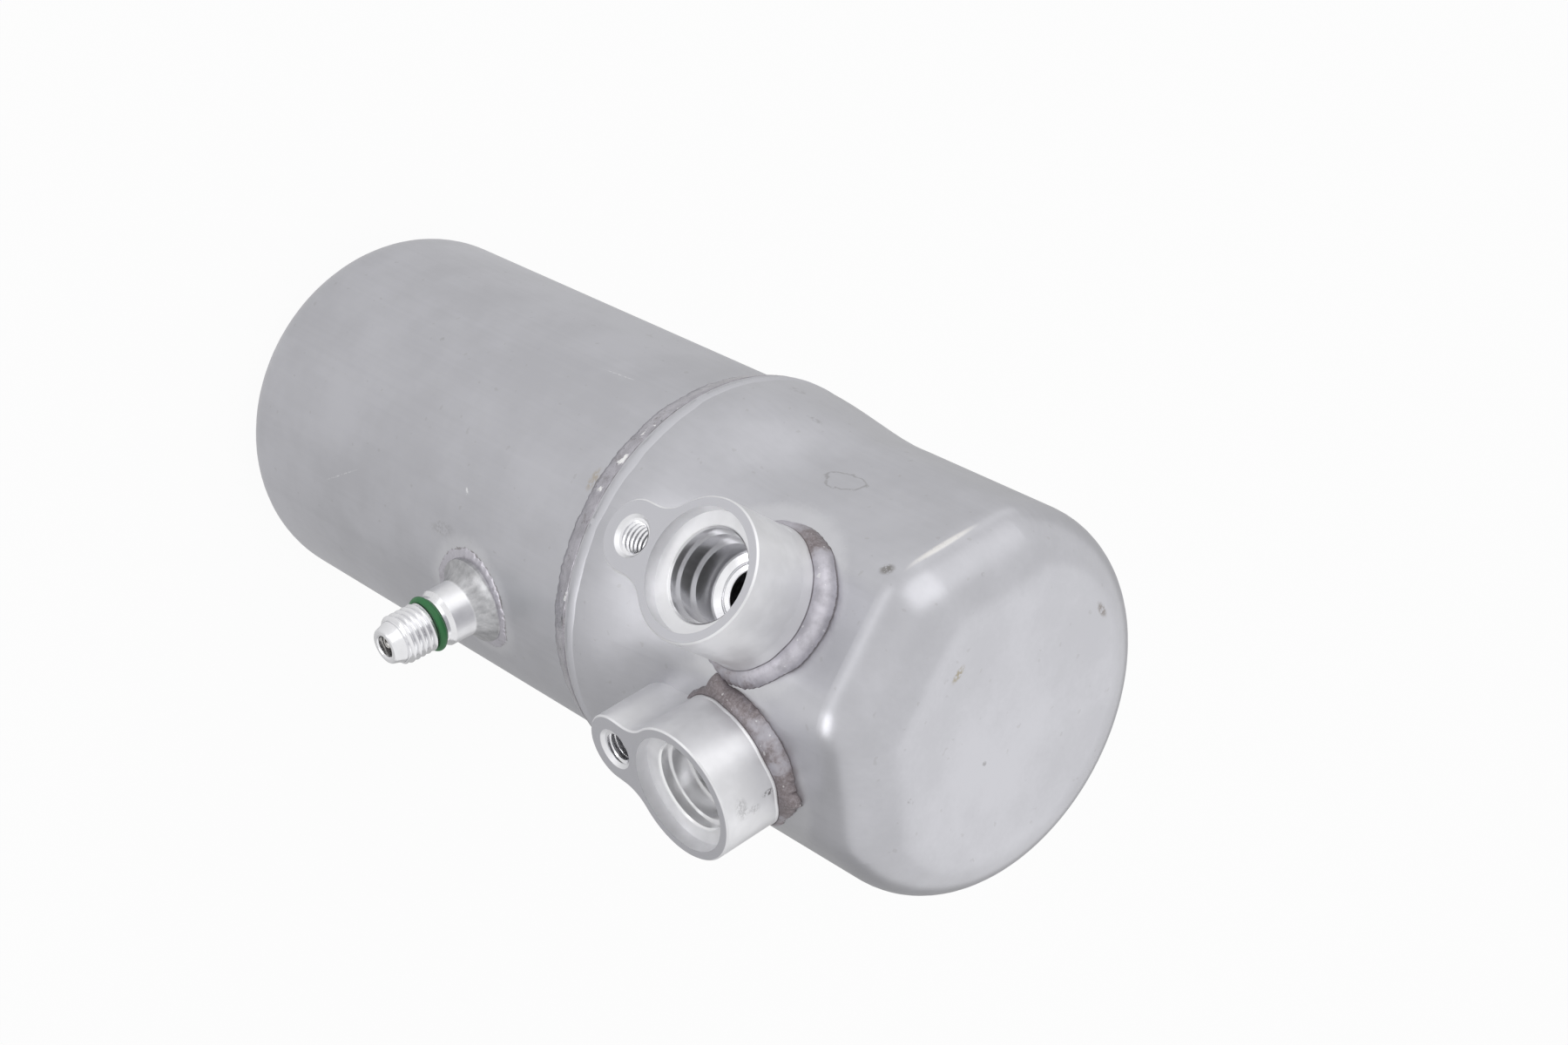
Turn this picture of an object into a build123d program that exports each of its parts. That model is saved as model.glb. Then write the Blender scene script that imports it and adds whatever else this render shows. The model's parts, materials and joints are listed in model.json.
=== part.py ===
from build123d import *
import math
import os

# Receiver drier of an air-conditioning circuit, standing on its flat bottom.
# Millimetres. +Z runs up the can's axis, and the origin is the centre of the bottom.
# The middle flat of the upper shell faces -Y.

os.makedirs("parts", exist_ok=True)

# Lower can: a deep-drawn cup
can_radius = 45.0
can_wall = 2.5
can_height = 146.0
can_corner_radius = 13.4

# Upper shell: its collar slips over the can's mouth, and three flats are pressed into its wall
lap_length = 9.0
lap_clearance = 0.1
collar_wall = 2.2
collar_height = 14.0
collar_taper = 1.1
ramp_height = 20.0
shell_wall = 2.4
shell_height = 89.0
body_inset = 1.1
flat_inset = 3.6
flat_spacing = 45.0
ridge_radius = 15.0
top_corner_radius = 13.2
ramp_runout = 5.0

# Weld bead round the girth
girth_weld_width = 6.1
girth_weld_rise = 0.35
girth_weld_cap = 0.7
girth_weld_shoulder = 3.6

# Port blocks: a boss and a lobe with a threaded hole, machined as one keyhole profile
port_rise = 15.1
boss_radius = 15.5
lobe_radius = 8.0
lobe_reach = 20.3
web_radius = 9.0
lobe_gap = 0.6
edge_break = 0.4
rim_radius = 13.3
rim_depth = 3.1
rim_floor_fall = 0.6
bore_break = 0.5
bore_radius = 10.0
bore_depth = 6.6
seat_radius = 9.4
seat_depth = 10.8
pocket_radius = 8.7
pocket_depth = 17.2
spigot_radius = 10.8
spigot_clearance = 0.15
spigot_reach = 2.4
thread_radius = 4.0
thread_chamfer = 0.8
thread_floor = 2.0
outlet_azimuth = -90.0
outlet_face_reach = 21.6
outlet_offset = 0.0
outlet_lobe_turn = 0.0
inlet_face_reach = 16.5
port_spacing = 35.60278
inlet_lobe_turn = -6.0

# Weld beads round the bosses
port_weld_width = 2.8
port_weld_rise = 3.4
port_weld_skirt = 5.5
port_weld_spread = 1.4
port_weld_fullness = 0.62

# Service fitting on the lower can, with heights measured out from the can's wall
fitting_azimuth = -46.0
fitting_height = 99.0
fitting_length = 24.7
skirt_radius = 10.4
skirt_rim = 0.3
skirt_waist_radius = 8.0
skirt_waist_height = 1.8
skirt_height = 4.2
neck_radius = 6.8
neck_length = 5.4
shank_radius = 6.0
shank_length = 1.9
seal_groove_radius = 4.9
seal_groove_width = 2.1
fitting_thread_radius = 6.0
fitting_thread_length = 7.6
nose_radius = 4.15
nose_base_radius = 4.8
fitting_root_radius = 5.6
fitting_root_reach = 1.6
fitting_weld_radius = 12.6
fitting_weld_rise = 0.35
seal_section = 0.9

# Valve core in the fitting's bore
core_bore_radius = 2.6
core_bore_mouth = 2.95
core_seat_height = 9.6
passage_radius = 1.9
core_clearance = 0.06
core_recess = 1.5
core_thread_length = 9.0
core_head_length = 2.2
core_head_width = 2.9
core_sleeve_radius = 1.55
core_sleeve_length = 3.2
core_pocket_radius = 1.75
core_pocket_depth = 8.2
gasket_length = 2.1
pin_radius = 0.8
pin_clearance = 0.05
pin_proud = 0.7
pin_collar_radius = 1.6
pin_collar_thickness = 0.6
pin_collar_drop = 1.2
pin_seal_radius = 1.5
pin_seal_length = 1.7
pin_head_radius = 1.15
pin_head_length = 0.7
pin_seat_gap = 0.02
spring_wire_radius = 0.17
spring_turns = 6
spring_clearance = 0.06

# Pickup tube: out through the outlet block, down to the bottom and up to its open mouth
tube_radius = 6.5
tube_wall = 1.0
tube_clearance = 0.05
tube_setback = 1.2
leg_offset = 15.0
outlet_bend_radius = 17.0
bend_floor_gap = 13.5
tube_mouth_drop = 36.0
oil_hole_radius = 1.2

# Baffle plate, clamped between the can's mouth and the shell's shoulder
baffle_thickness = 1.5
baffle_rim_gap = 0.2
baffle_hole_radius = 5.0
baffle_hole_circle = 33.0
baffle_hole_count = 8

# Cap over the tube's open mouth
cap_radius = 11.5
cap_wall = 1.4
cap_skirt = 10.0
cap_edge_radius = 0.98
cap_roof_gap = 5.5
cap_rib_thickness = 1.4
cap_rib_count = 4

# Oil strainer under the tube's bend
strainer_radius = 9.0
strainer_plate = 1.4
strainer_floor_gap = 1.0
strainer_rib_depth = 1.3
strainer_rib_width = 1.2
strainer_rib_count = 6
strainer_neck_radius = 5.5
strainer_neck_bore = 2.75
gauze_wall = 0.5
gauze_clearance = 0.1

# Desiccant bag, tied to the two legs of the tube
bag_base_height = 52.0
bag_head_gap = 12.0
bag_corner_radius = 8.0
bag_end_radius = 6.4
bag_gap = 0.3
bag_back_gap = 8.7
bag_corner_gap = 4.1
tie_width = 5.0
tie_thickness = 1.2
tie_inset = 20.0

# Heights and radii that follow from the values above
can_inner_radius = can_radius - can_wall
body_radius = can_radius - body_inset
flat_distance = can_radius - flat_inset
outlet_face_distance = flat_distance + outlet_face_reach
inlet_face_distance = flat_distance + inlet_face_reach
inlet_azimuth = outlet_azimuth + flat_spacing
half_turn = math.radians(flat_spacing / 2)
flat_chord = 2 * flat_distance * math.sin(half_turn)
inlet_offset = math.sqrt(port_spacing**2 - (flat_chord * math.sin(half_turn)) ** 2)
inlet_offset -= flat_chord * math.cos(half_turn)
shell_rim_height = can_height - lap_length
collar_radius = can_radius + lap_clearance + collar_wall
shoulder_height = shell_rim_height + collar_height
shoulder_radius = collar_radius - collar_taper
ramp_top_height = shoulder_height + ramp_height
port_height = ramp_top_height + port_rise
shell_top_height = shell_rim_height + shell_height
tube_mouth_height = shell_top_height - tube_mouth_drop
stop_height = can_height + baffle_thickness
lobe_floor_distance = shoulder_radius + lobe_gap
spigot_end_distance = flat_distance - shell_wall - spigot_reach
tube_inner_radius = tube_radius - tube_wall
bend_height = can_wall + bend_floor_gap + tube_radius + leg_offset
bag_top_height = can_height - bag_head_gap
bag_near = tube_radius + bag_gap
bag_thickness = can_inner_radius - bag_back_gap - bag_near
bag_corner_reach = bag_near + bag_thickness - bag_corner_radius
bag_corner_side = math.sqrt(
    (can_inner_radius - bag_corner_gap - bag_corner_radius) ** 2 - bag_corner_reach**2
)
bag_half_width = bag_corner_side + bag_corner_radius


def direction(azimuth):
    """Unit vector in the XY plane at an azimuth."""
    return Vector(math.cos(math.radians(azimuth)), math.sin(math.radians(azimuth)), 0)


def radial_plane(azimuth, distance, height, offset=0.0):
    """Plane across a radial axis: its X runs along the wall, its Y runs up, its Z points outwards."""
    outwards = direction(azimuth)
    along = direction(azimuth + 90)
    return Plane(
        origin=outwards * distance + along * offset + Vector(0, 0, height),
        x_dir=along,
        z_dir=outwards,
    )


# Outline of the shell: three flats, soft ridges between them and a round wall


def ridge_corner(azimuth_in, azimuth_out, centre, corner):
    """Start, middle and end of a ridge of a given radius round its centre."""
    middle = direction((azimuth_in + azimuth_out) / 2)
    return [
        centre + direction(azimuth_in) * corner,
        centre + middle * corner,
        centre + direction(azimuth_out) * corner,
    ]


def outline_points(inset):
    """Joints and middles of the outline's nine edges, in order, moved in by a wall."""
    radius = body_radius - inset
    distance = flat_distance - inset
    corner = ridge_radius - inset
    first = outlet_azimuth - flat_spacing
    last = outlet_azimuth + flat_spacing
    lean = math.degrees(math.acos((distance - corner) / (radius - corner)))
    inner = (distance - corner) / math.cos(math.radians(flat_spacing / 2))
    points = ridge_corner(first - lean, first, direction(first - lean) * (radius - corner), corner)
    for azimuth in (first, outlet_azimuth):
        centre = direction(azimuth + flat_spacing / 2) * inner
        ridge = ridge_corner(azimuth, azimuth + flat_spacing, centre, corner)
        points += [(points[-1] + ridge[0]) * 0.5] + ridge
    ridge = ridge_corner(last, last + lean, direction(last + lean) * (radius - corner), corner)
    points += [(points[-1] + ridge[0]) * 0.5] + ridge
    back = outlet_azimuth + 180
    points += [
        direction((last + lean + back) / 2) * radius,
        direction(back) * radius,
        direction((back + first - lean + 360) / 2) * radius,
    ]
    return points


def draw_section(points, straight):
    """Closed outline through joints and middles; edges in straight are lines."""
    count = len(points) // 2
    for edge in range(count):
        start = points[2 * edge]
        middle = points[2 * edge + 1]
        end = points[(2 * edge + 2) % len(points)]
        if edge in straight:
            Line(start, end)
        else:
            ThreePointArc(start, middle, end)


def round_points(radius, inset):
    """The outline's joints and middles pushed out to a circle, so that sections match."""
    return [point.normalized() * radius for point in outline_points(inset)]


flat_edges = (1, 3, 5)

# Outer form and cavity of the upper shell, each built in the same way

shell_forms = []
for inset in (0.0, shell_wall):
    with BuildPart() as shell_form:
        with BuildSketch(Plane.XY.offset(ramp_top_height + ramp_runout)):
            with BuildLine():
                draw_section(outline_points(inset), flat_edges)
            make_face()
        extrude(amount=shell_top_height - inset - ramp_top_height - ramp_runout)
        fillet(shell_form.edges().group_by(Axis.Z)[-1], top_corner_radius - inset)
        with BuildSketch(Plane.XY.offset(shell_rim_height)) as rim_section:
            with BuildLine():
                draw_section(round_points(collar_radius - inset, inset), ())
            make_face()
        with BuildSketch(Plane.XY.offset(shoulder_height)) as shoulder_section:
            with BuildLine():
                draw_section(round_points(shoulder_radius - inset, inset), ())
            make_face()
        with BuildSketch(Plane.XY.offset(ramp_top_height)) as ramp_section:
            with BuildLine():
                draw_section(outline_points(inset), flat_edges)
            make_face()
        with BuildSketch(Plane.XY.offset(ramp_top_height + ramp_runout)) as wall_section:
            with BuildLine():
                draw_section(outline_points(inset), flat_edges)
            make_face()
        loft([rim_section.sketch, shoulder_section.sketch, ramp_section.sketch, wall_section.sketch])
    shell_forms.append(shell_form)
outer_form, cavity_form = shell_forms

outlet_plane = radial_plane(outlet_azimuth, 0, port_height, outlet_offset)
inlet_plane = radial_plane(inlet_azimuth, 0, port_height, inlet_offset)
fitting_plane = radial_plane(fitting_azimuth, can_radius, fitting_height)

# Upper shell

with BuildPart() as upper_shell:
    add(outer_form.part)
    add(cavity_form.part, mode=Mode.SUBTRACT)
    with BuildSketch(Plane.XY.offset(shell_rim_height)):
        Circle(can_radius + lap_clearance)
    extrude(amount=stop_height - shell_rim_height, mode=Mode.SUBTRACT)
    for port_plane in (outlet_plane, inlet_plane):
        with BuildSketch(port_plane):
            Circle(spigot_radius + spigot_clearance)
        extrude(amount=collar_radius, mode=Mode.SUBTRACT)
upper_shell.part.label = "upper_shell"
export_step(upper_shell.part, "parts/upper_shell.step")

# Lower can

with BuildPart() as lower_can:
    with BuildSketch(Plane.XZ):
        with BuildLine():
            corner_inner = can_corner_radius - can_wall
            Line((0, 0), (can_radius - can_corner_radius, 0))
            RadiusArc(
                (can_radius - can_corner_radius, 0),
                (can_radius, can_corner_radius),
                -can_corner_radius,
            )
            Line((can_radius, can_corner_radius), (can_radius, can_height))
            Line((can_radius, can_height), (can_inner_radius, can_height))
            Line((can_inner_radius, can_height), (can_inner_radius, can_corner_radius))
            RadiusArc(
                (can_inner_radius, can_corner_radius),
                (can_radius - can_corner_radius, can_wall),
                corner_inner,
            )
            Line((can_radius - can_corner_radius, can_wall), (0, can_wall))
            Line((0, can_wall), (0, 0))
        make_face()
    revolve(axis=Axis.Z)
    with BuildSketch(fitting_plane.offset(-can_radius)):
        Circle(fitting_root_radius + spigot_clearance)
    extrude(amount=can_radius + can_wall, mode=Mode.SUBTRACT)
lower_can.part.label = "lower_can"
export_step(lower_can.part, "parts/lower_can.step")

# Girth weld: a bead from the can's wall up over the shell's rim

with BuildPart() as girth_weld:
    bead_toe = shell_rim_height - girth_weld_width
    bead_crown = collar_radius + girth_weld_rise
    with BuildSketch(Plane.XZ):
        with BuildLine():
            ThreePointArc(
                (can_radius, bead_toe),
                ((can_radius + 2 * bead_crown) / 3, shell_rim_height - girth_weld_shoulder),
                (bead_crown, shell_rim_height - girth_weld_cap),
            )
            Line(
                (bead_crown, shell_rim_height - girth_weld_cap),
                (collar_radius, shell_rim_height),
            )
            Line((collar_radius, shell_rim_height), (can_radius, shell_rim_height))
            Line((can_radius, shell_rim_height), (can_radius, bead_toe))
        make_face()
    revolve(axis=Axis.Z)
girth_weld.part.label = "girth_weld"
export_step(girth_weld.part, "parts/girth_weld.step")


# Port blocks and the beads round their bosses


def section_plane(plane):
    """Plane through a radial axis: its X is the radius and its Y the distance outwards."""
    return Plane(origin=plane.origin, x_dir=plane.x_dir, z_dir=-plane.y_dir)


for side, plane, face_distance, lobe_turn in (
    ("outlet", outlet_plane, outlet_face_distance, outlet_lobe_turn),
    ("inlet", inlet_plane, inlet_face_distance, inlet_lobe_turn),
):
    port_axis = Axis(plane.origin, plane.z_dir)
    lobe_centre = Vector(0, -lobe_reach).rotate(Axis.Z, lobe_turn)
    with BuildPart() as port_block:
        with BuildSketch(plane.offset(flat_distance - port_weld_skirt)):
            Circle(boss_radius)
        extrude(amount=lobe_floor_distance - flat_distance + port_weld_skirt)
        add(outer_form.part, mode=Mode.SUBTRACT)
        with BuildSketch(plane.offset(lobe_floor_distance)) as keyhole:
            Circle(boss_radius)
            with Locations(lobe_centre):
                Circle(lobe_radius)
            with Locations(Location(lobe_centre * 0.5, lobe_turn)):
                Rectangle(2 * lobe_radius, lobe_reach)
            webs = keyhole.vertices().filter_by(
                lambda corner: abs(math.hypot(corner.X, corner.Y) - boss_radius) < edge_break
            )
            fillet(webs, web_radius)
        extrude(amount=face_distance - lobe_floor_distance)
        face_edges = port_block.faces().sort_by(port_axis)[-1].edges()
        chamfer(face_edges, edge_break)
        with BuildSketch(plane.offset(spigot_end_distance)):
            Circle(spigot_radius)
        extrude(amount=lobe_floor_distance - spigot_end_distance)
        with BuildSketch(section_plane(plane)):
            with BuildLine():
                Polyline(
                    (0, face_distance + rim_depth),
                    (rim_radius, face_distance + rim_depth),
                    (rim_radius, face_distance - rim_depth),
                    (bore_radius + bore_break, face_distance - rim_depth - rim_floor_fall),
                    (bore_radius, face_distance - rim_depth - rim_floor_fall - bore_break),
                    (bore_radius, face_distance - bore_depth),
                    (seat_radius, face_distance - bore_depth),
                    (seat_radius, face_distance - seat_depth),
                    (pocket_radius, face_distance - seat_depth),
                    (pocket_radius, face_distance - pocket_depth),
                    (tube_radius + tube_clearance, face_distance - pocket_depth),
                    (tube_radius + tube_clearance, 0),
                    (0, 0),
                    close=True,
                )
            make_face()
        revolve(axis=port_axis, mode=Mode.SUBTRACT)
        with Locations(plane.offset(face_distance).location * Location(lobe_centre)):
            CounterSinkHole(
                radius=thread_radius,
                counter_sink_radius=thread_radius + thread_chamfer,
                depth=face_distance - lobe_floor_distance - thread_floor,
                counter_sink_angle=90,
            )
    port_block.part.label = side + "_block"
    export_step(port_block.part, "parts/" + side + "_block.step")

    with BuildPart() as port_weld:
        with BuildSketch(section_plane(plane)):
            with BuildLine():
                toe = (boss_radius + port_weld_width, flat_distance)
                root = (boss_radius, flat_distance + port_weld_rise)
                skirt = flat_distance - port_weld_skirt
                crown = (
                    boss_radius + port_weld_width * port_weld_fullness,
                    flat_distance + port_weld_rise * port_weld_fullness,
                )
                ThreePointArc(root, crown, toe)
                Polyline(
                    toe,
                    (boss_radius + port_weld_width + port_weld_spread, skirt),
                    (boss_radius, skirt),
                    root,
                )
            make_face()
        revolve(axis=port_axis)
        add(outer_form.part, mode=Mode.SUBTRACT)
    port_weld.part.label = side + "_weld"
    export_step(port_weld.part, "parts/" + side + "_weld.step")

# Service fitting

fitting_axis = Axis(fitting_plane.origin, fitting_plane.z_dir)
fitting_section = section_plane(fitting_plane)
skirt_drop = can_radius - math.sqrt(can_radius**2 - skirt_radius**2)
neck_top = skirt_height + neck_length
groove_base = neck_top + shank_length
groove_top = groove_base + seal_groove_width
thread_top = groove_top + fitting_thread_length
root_end = -can_wall - fitting_root_reach

with BuildPart() as service_fitting:
    with BuildSketch(fitting_section):
        with BuildLine():
            ThreePointArc(
                (skirt_radius, skirt_rim),
                (skirt_waist_radius, skirt_waist_height),
                (neck_radius, skirt_height),
            )
            Polyline(
                (neck_radius, skirt_height),
                (neck_radius, neck_top),
                (shank_radius, neck_top + neck_radius - shank_radius),
                (shank_radius, groove_base),
                (seal_groove_radius, groove_base),
                (seal_groove_radius, groove_top),
                (fitting_thread_radius - edge_break, groove_top),
                (fitting_thread_radius, groove_top + edge_break),
                (fitting_thread_radius, thread_top),
                (nose_base_radius, thread_top + fitting_thread_radius - nose_base_radius),
                (nose_radius, fitting_length),
                (0, fitting_length),
                (0, -skirt_drop),
                (skirt_radius, -skirt_drop),
                (skirt_radius, skirt_rim),
            )
        make_face()
    revolve(axis=fitting_axis)
    with BuildSketch(Plane.XY):
        Circle(can_radius)
    extrude(amount=can_height, mode=Mode.SUBTRACT)
    with BuildSketch(fitting_plane.offset(root_end)):
        Circle(fitting_root_radius)
    extrude(amount=skirt_height - root_end)
    with BuildSketch(fitting_section):
        with BuildLine():
            mouth_depth = core_bore_mouth - core_bore_radius
            Polyline(
                (0, fitting_length),
                (core_bore_mouth, fitting_length),
                (core_bore_radius, fitting_length - mouth_depth),
                (core_bore_radius, core_seat_height + core_bore_radius - passage_radius),
                (passage_radius, core_seat_height),
                (passage_radius, root_end),
                (0, root_end),
                close=True,
            )
        make_face()
    revolve(axis=fitting_axis, mode=Mode.SUBTRACT)
service_fitting.part.label = "service_fitting"
export_step(service_fitting.part, "parts/service_fitting.step")

# Thin flash of weld round the fitting's skirt, lying on the can's wall

with BuildPart() as fitting_weld:
    with BuildSketch(Plane.XY.offset(fitting_height - 2 * fitting_weld_radius)):
        Circle(can_radius + fitting_weld_rise)
        Circle(can_radius, mode=Mode.SUBTRACT)
    extrude(amount=4 * fitting_weld_radius)
    with BuildSketch(fitting_plane.offset(-can_radius)):
        Circle(fitting_weld_radius)
    extrude(amount=2 * can_radius, mode=Mode.INTERSECT)
    add(service_fitting.part, mode=Mode.SUBTRACT)
    with BuildSketch(fitting_plane.offset(-can_radius)):
        Circle(neck_radius)
    extrude(amount=2 * can_radius, mode=Mode.SUBTRACT)
fitting_weld.part.label = "fitting_weld"
export_step(fitting_weld.part, "parts/fitting_weld.step")

# Seal ring in the fitting's groove

with BuildPart() as fitting_seal:
    with BuildSketch(fitting_section):
        with Locations((seal_groove_radius + seal_section + tube_clearance, (groove_base + groove_top) / 2)):
            Circle(seal_section)
    revolve(axis=fitting_axis)
fitting_seal.part.label = "fitting_seal"
export_step(fitting_seal.part, "parts/fitting_seal.step")

# Valve core: body, gasket, pin, seal and spring

core_radius = core_bore_radius - core_clearance
core_top = fitting_length - core_recess
core_shoulder = core_top - core_head_length
core_thread_end = core_shoulder - core_thread_length
core_end = core_thread_end - core_sleeve_length
core_ledge = core_top - core_pocket_depth

with BuildPart() as core_body:
    with BuildSketch(fitting_section):
        with BuildLine():
            Polyline(
                (pin_radius + pin_clearance, core_end),
                (core_sleeve_radius, core_end),
                (core_sleeve_radius, core_thread_end),
                (core_radius, core_thread_end),
                (core_radius, core_shoulder),
                (core_radius - edge_break / 2, core_shoulder),
                (core_radius - edge_break / 2, core_top),
                (core_pocket_radius, core_top),
                (core_pocket_radius, core_ledge),
                (pin_radius + pin_clearance, core_ledge),
                close=True,
            )
        make_face()
    revolve(axis=fitting_axis)
    with BuildSketch(fitting_plane.offset(core_shoulder)):
        Circle(core_radius)
        Rectangle(core_head_width, 2 * core_radius, mode=Mode.SUBTRACT)
    extrude(amount=core_head_length, mode=Mode.SUBTRACT)
core_body.part.label = "core_body"
export_step(core_body.part, "parts/core_body.step")

with BuildPart() as core_gasket:
    with BuildSketch(fitting_section):
        with BuildLine():
            gasket_end = core_thread_end - gasket_length
            Polyline(
                (core_sleeve_radius, core_thread_end),
                (core_radius, core_thread_end),
                (core_radius, gasket_end + core_radius - passage_radius),
                (passage_radius, gasket_end),
                (core_sleeve_radius, gasket_end),
                close=True,
            )
        make_face()
    revolve(axis=fitting_axis)
core_gasket.part.label = "core_gasket"
export_step(core_gasket.part, "parts/core_gasket.step")

seal_top = core_end - pin_seat_gap
seal_base = seal_top - pin_seal_length
collar_top = core_top - pin_collar_drop
collar_base = collar_top - pin_collar_thickness

with BuildPart() as valve_pin:
    with BuildSketch(fitting_section):
        with BuildLine():
            Polyline(
                (0, seal_base - pin_head_length),
                (pin_head_radius, seal_base - pin_head_length),
                (pin_head_radius, seal_base),
                (pin_radius, seal_base),
                (pin_radius, collar_base),
                (pin_collar_radius, collar_base),
                (pin_collar_radius, collar_top),
                (pin_radius, collar_top),
                (pin_radius, core_top + pin_proud),
                (0, core_top + pin_proud),
                close=True,
            )
        make_face()
    revolve(axis=fitting_axis)
    pin_tip = valve_pin.faces().sort_by(fitting_axis)[-1].edges()
    fillet(pin_tip, pin_radius / 2)
valve_pin.part.label = "valve_pin"
export_step(valve_pin.part, "parts/valve_pin.step")

with BuildPart() as pin_seal:
    with BuildSketch(fitting_plane.offset(seal_base)):
        Circle(pin_seal_radius)
        Circle(pin_radius, mode=Mode.SUBTRACT)
    extrude(amount=pin_seal_length)
pin_seal.part.label = "pin_seal"
export_step(pin_seal.part, "parts/pin_seal.step")

with BuildPart() as pin_spring:
    spring_base = core_ledge + spring_wire_radius + spring_clearance
    spring_rise = collar_base - spring_wire_radius - spring_clearance - spring_base
    with BuildLine() as coil:
        Helix(
            pitch=spring_rise / spring_turns,
            height=spring_rise,
            radius=(core_pocket_radius + pin_radius) / 2,
            center=fitting_plane.offset(spring_base).origin,
            direction=fitting_plane.z_dir,
        )
    with BuildSketch(Plane(origin=coil.line @ 0, z_dir=coil.line % 0)):
        Circle(spring_wire_radius)
    sweep(path=coil.line)
pin_spring.part.label = "pin_spring"
export_step(pin_spring.part, "parts/pin_spring.step")

# Pickup tube: in the upright plane of the outlet, with X outwards and Y upwards

outwards = direction(outlet_azimuth)
along = direction(outlet_azimuth + 90)
tube_origin = along * outlet_offset
tube_plane = Plane(origin=tube_origin, x_dir=outwards, z_dir=outwards.cross(Vector(0, 0, 1)))
floor_plane = Plane(origin=tube_origin, x_dir=outwards, z_dir=(0, 0, 1))
tube_start = outlet_face_distance - pocket_depth - tube_setback
bend_start = leg_offset + outlet_bend_radius

with BuildPart() as pickup_tube:
    with BuildLine(tube_plane) as route:
        Line((tube_start, port_height), (bend_start, port_height))
        TangentArc(
            (bend_start, port_height),
            (leg_offset, port_height - outlet_bend_radius),
            tangent=(-1, 0),
        )
        Line((leg_offset, port_height - outlet_bend_radius), (leg_offset, bend_height))
        TangentArc((leg_offset, bend_height), (-leg_offset, bend_height), tangent=(0, -1))
        Line((-leg_offset, bend_height), (-leg_offset, tube_mouth_height))
    with BuildSketch(Plane(origin=route.line @ 0, z_dir=route.line % 0)):
        Circle(tube_radius)
        Circle(tube_inner_radius, mode=Mode.SUBTRACT)
    sweep(path=route.line)
    with BuildSketch(floor_plane.offset(bend_height - leg_offset - 2 * tube_radius)):
        Circle(oil_hole_radius)
    extrude(amount=2 * tube_radius, mode=Mode.SUBTRACT)
pickup_tube.part.label = "pickup_tube"
export_step(pickup_tube.part, "parts/pickup_tube.step")

# Baffle plate: both legs pass through it, and oil and liquid drain through its ring of holes

with BuildPart() as baffle_plate:
    with BuildSketch(floor_plane.offset(can_height)):
        with Locations(tube_origin * -1):
            Circle(can_radius + lap_clearance - baffle_rim_gap)
        with Locations((leg_offset, 0), (-leg_offset, 0)):
            Circle(tube_radius + tube_clearance, mode=Mode.SUBTRACT)
        with PolarLocations(baffle_hole_circle, baffle_hole_count, start_angle=180 / baffle_hole_count):
            Circle(baffle_hole_radius, mode=Mode.SUBTRACT)
    extrude(amount=baffle_thickness)
baffle_plate.part.label = "baffle_plate"
export_step(baffle_plate.part, "parts/baffle_plate.step")

# Cap over the open mouth, held off the tube by ribs

with BuildPart() as intake_cap:
    cap_roof = tube_mouth_height + cap_roof_gap
    with BuildSketch(floor_plane.offset(tube_mouth_height - cap_skirt)):
        with Locations((-leg_offset, 0)):
            Circle(cap_radius)
            Circle(cap_radius - cap_wall, mode=Mode.SUBTRACT)
    extrude(amount=cap_skirt + cap_roof_gap)
    with BuildSketch(floor_plane.offset(cap_roof)):
        with Locations((-leg_offset, 0)):
            Circle(cap_radius)
    extrude(amount=cap_wall)
    fillet(intake_cap.edges().group_by(Axis.Z)[-1], cap_edge_radius)
    with BuildSketch(floor_plane.offset(tube_mouth_height - cap_skirt)):
        with Locations((-leg_offset, 0)):
            with PolarLocations(0, cap_rib_count, start_angle=45):
                with Locations((cap_radius / 2, 0)):
                    Rectangle(cap_radius - cap_wall / 2 - edge_break, cap_rib_thickness)
            Circle(tube_radius + tube_clearance, mode=Mode.SUBTRACT)
    extrude(amount=cap_skirt - 2 * cap_wall)
intake_cap.part.label = "intake_cap"
export_step(intake_cap.part, "parts/intake_cap.step")

# Strainer under the bend: a cage of two plates and ribs, a saddle for the tube, and its gauze

strainer_base = can_wall + strainer_floor_gap
strainer_top = can_wall + bend_floor_gap - strainer_floor_gap
cage_base = strainer_base + strainer_plate
cage_height = strainer_top - strainer_plate - cage_base

with BuildPart() as strainer_cage:
    with BuildSketch(floor_plane.offset(strainer_base)):
        Circle(strainer_radius)
    extrude(amount=strainer_plate)
    with BuildSketch(floor_plane.offset(cage_base)):
        with PolarLocations(strainer_radius - strainer_rib_depth / 2, strainer_rib_count):
            Rectangle(strainer_rib_depth, strainer_rib_width)
    extrude(amount=cage_height)
    with BuildSketch(floor_plane.offset(strainer_top - strainer_plate)):
        Circle(strainer_radius)
    extrude(amount=strainer_plate)
    with BuildSketch(floor_plane.offset(strainer_top)):
        Circle(strainer_neck_radius)
    extrude(amount=tube_radius)
    with Locations(Plane(origin=floor_plane.offset(bend_height).origin, z_dir=along)):
        Torus(leg_offset, tube_radius + tube_clearance, mode=Mode.SUBTRACT)
    with BuildSketch(floor_plane.offset(strainer_top - strainer_plate)):
        Circle(strainer_neck_bore)
    extrude(amount=2 * tube_radius, mode=Mode.SUBTRACT)
strainer_cage.part.label = "strainer_cage"
export_step(strainer_cage.part, "parts/strainer_cage.step")

with BuildPart() as strainer_gauze:
    gauze_radius = strainer_radius - strainer_rib_depth - gauze_clearance
    with BuildSketch(floor_plane.offset(cage_base)):
        Circle(gauze_radius)
        Circle(gauze_radius - gauze_wall, mode=Mode.SUBTRACT)
    extrude(amount=cage_height)
strainer_gauze.part.label = "strainer_gauze"
export_step(strainer_gauze.part, "parts/strainer_gauze.step")

# Desiccant bag beside the legs, and the two ties round both

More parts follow.
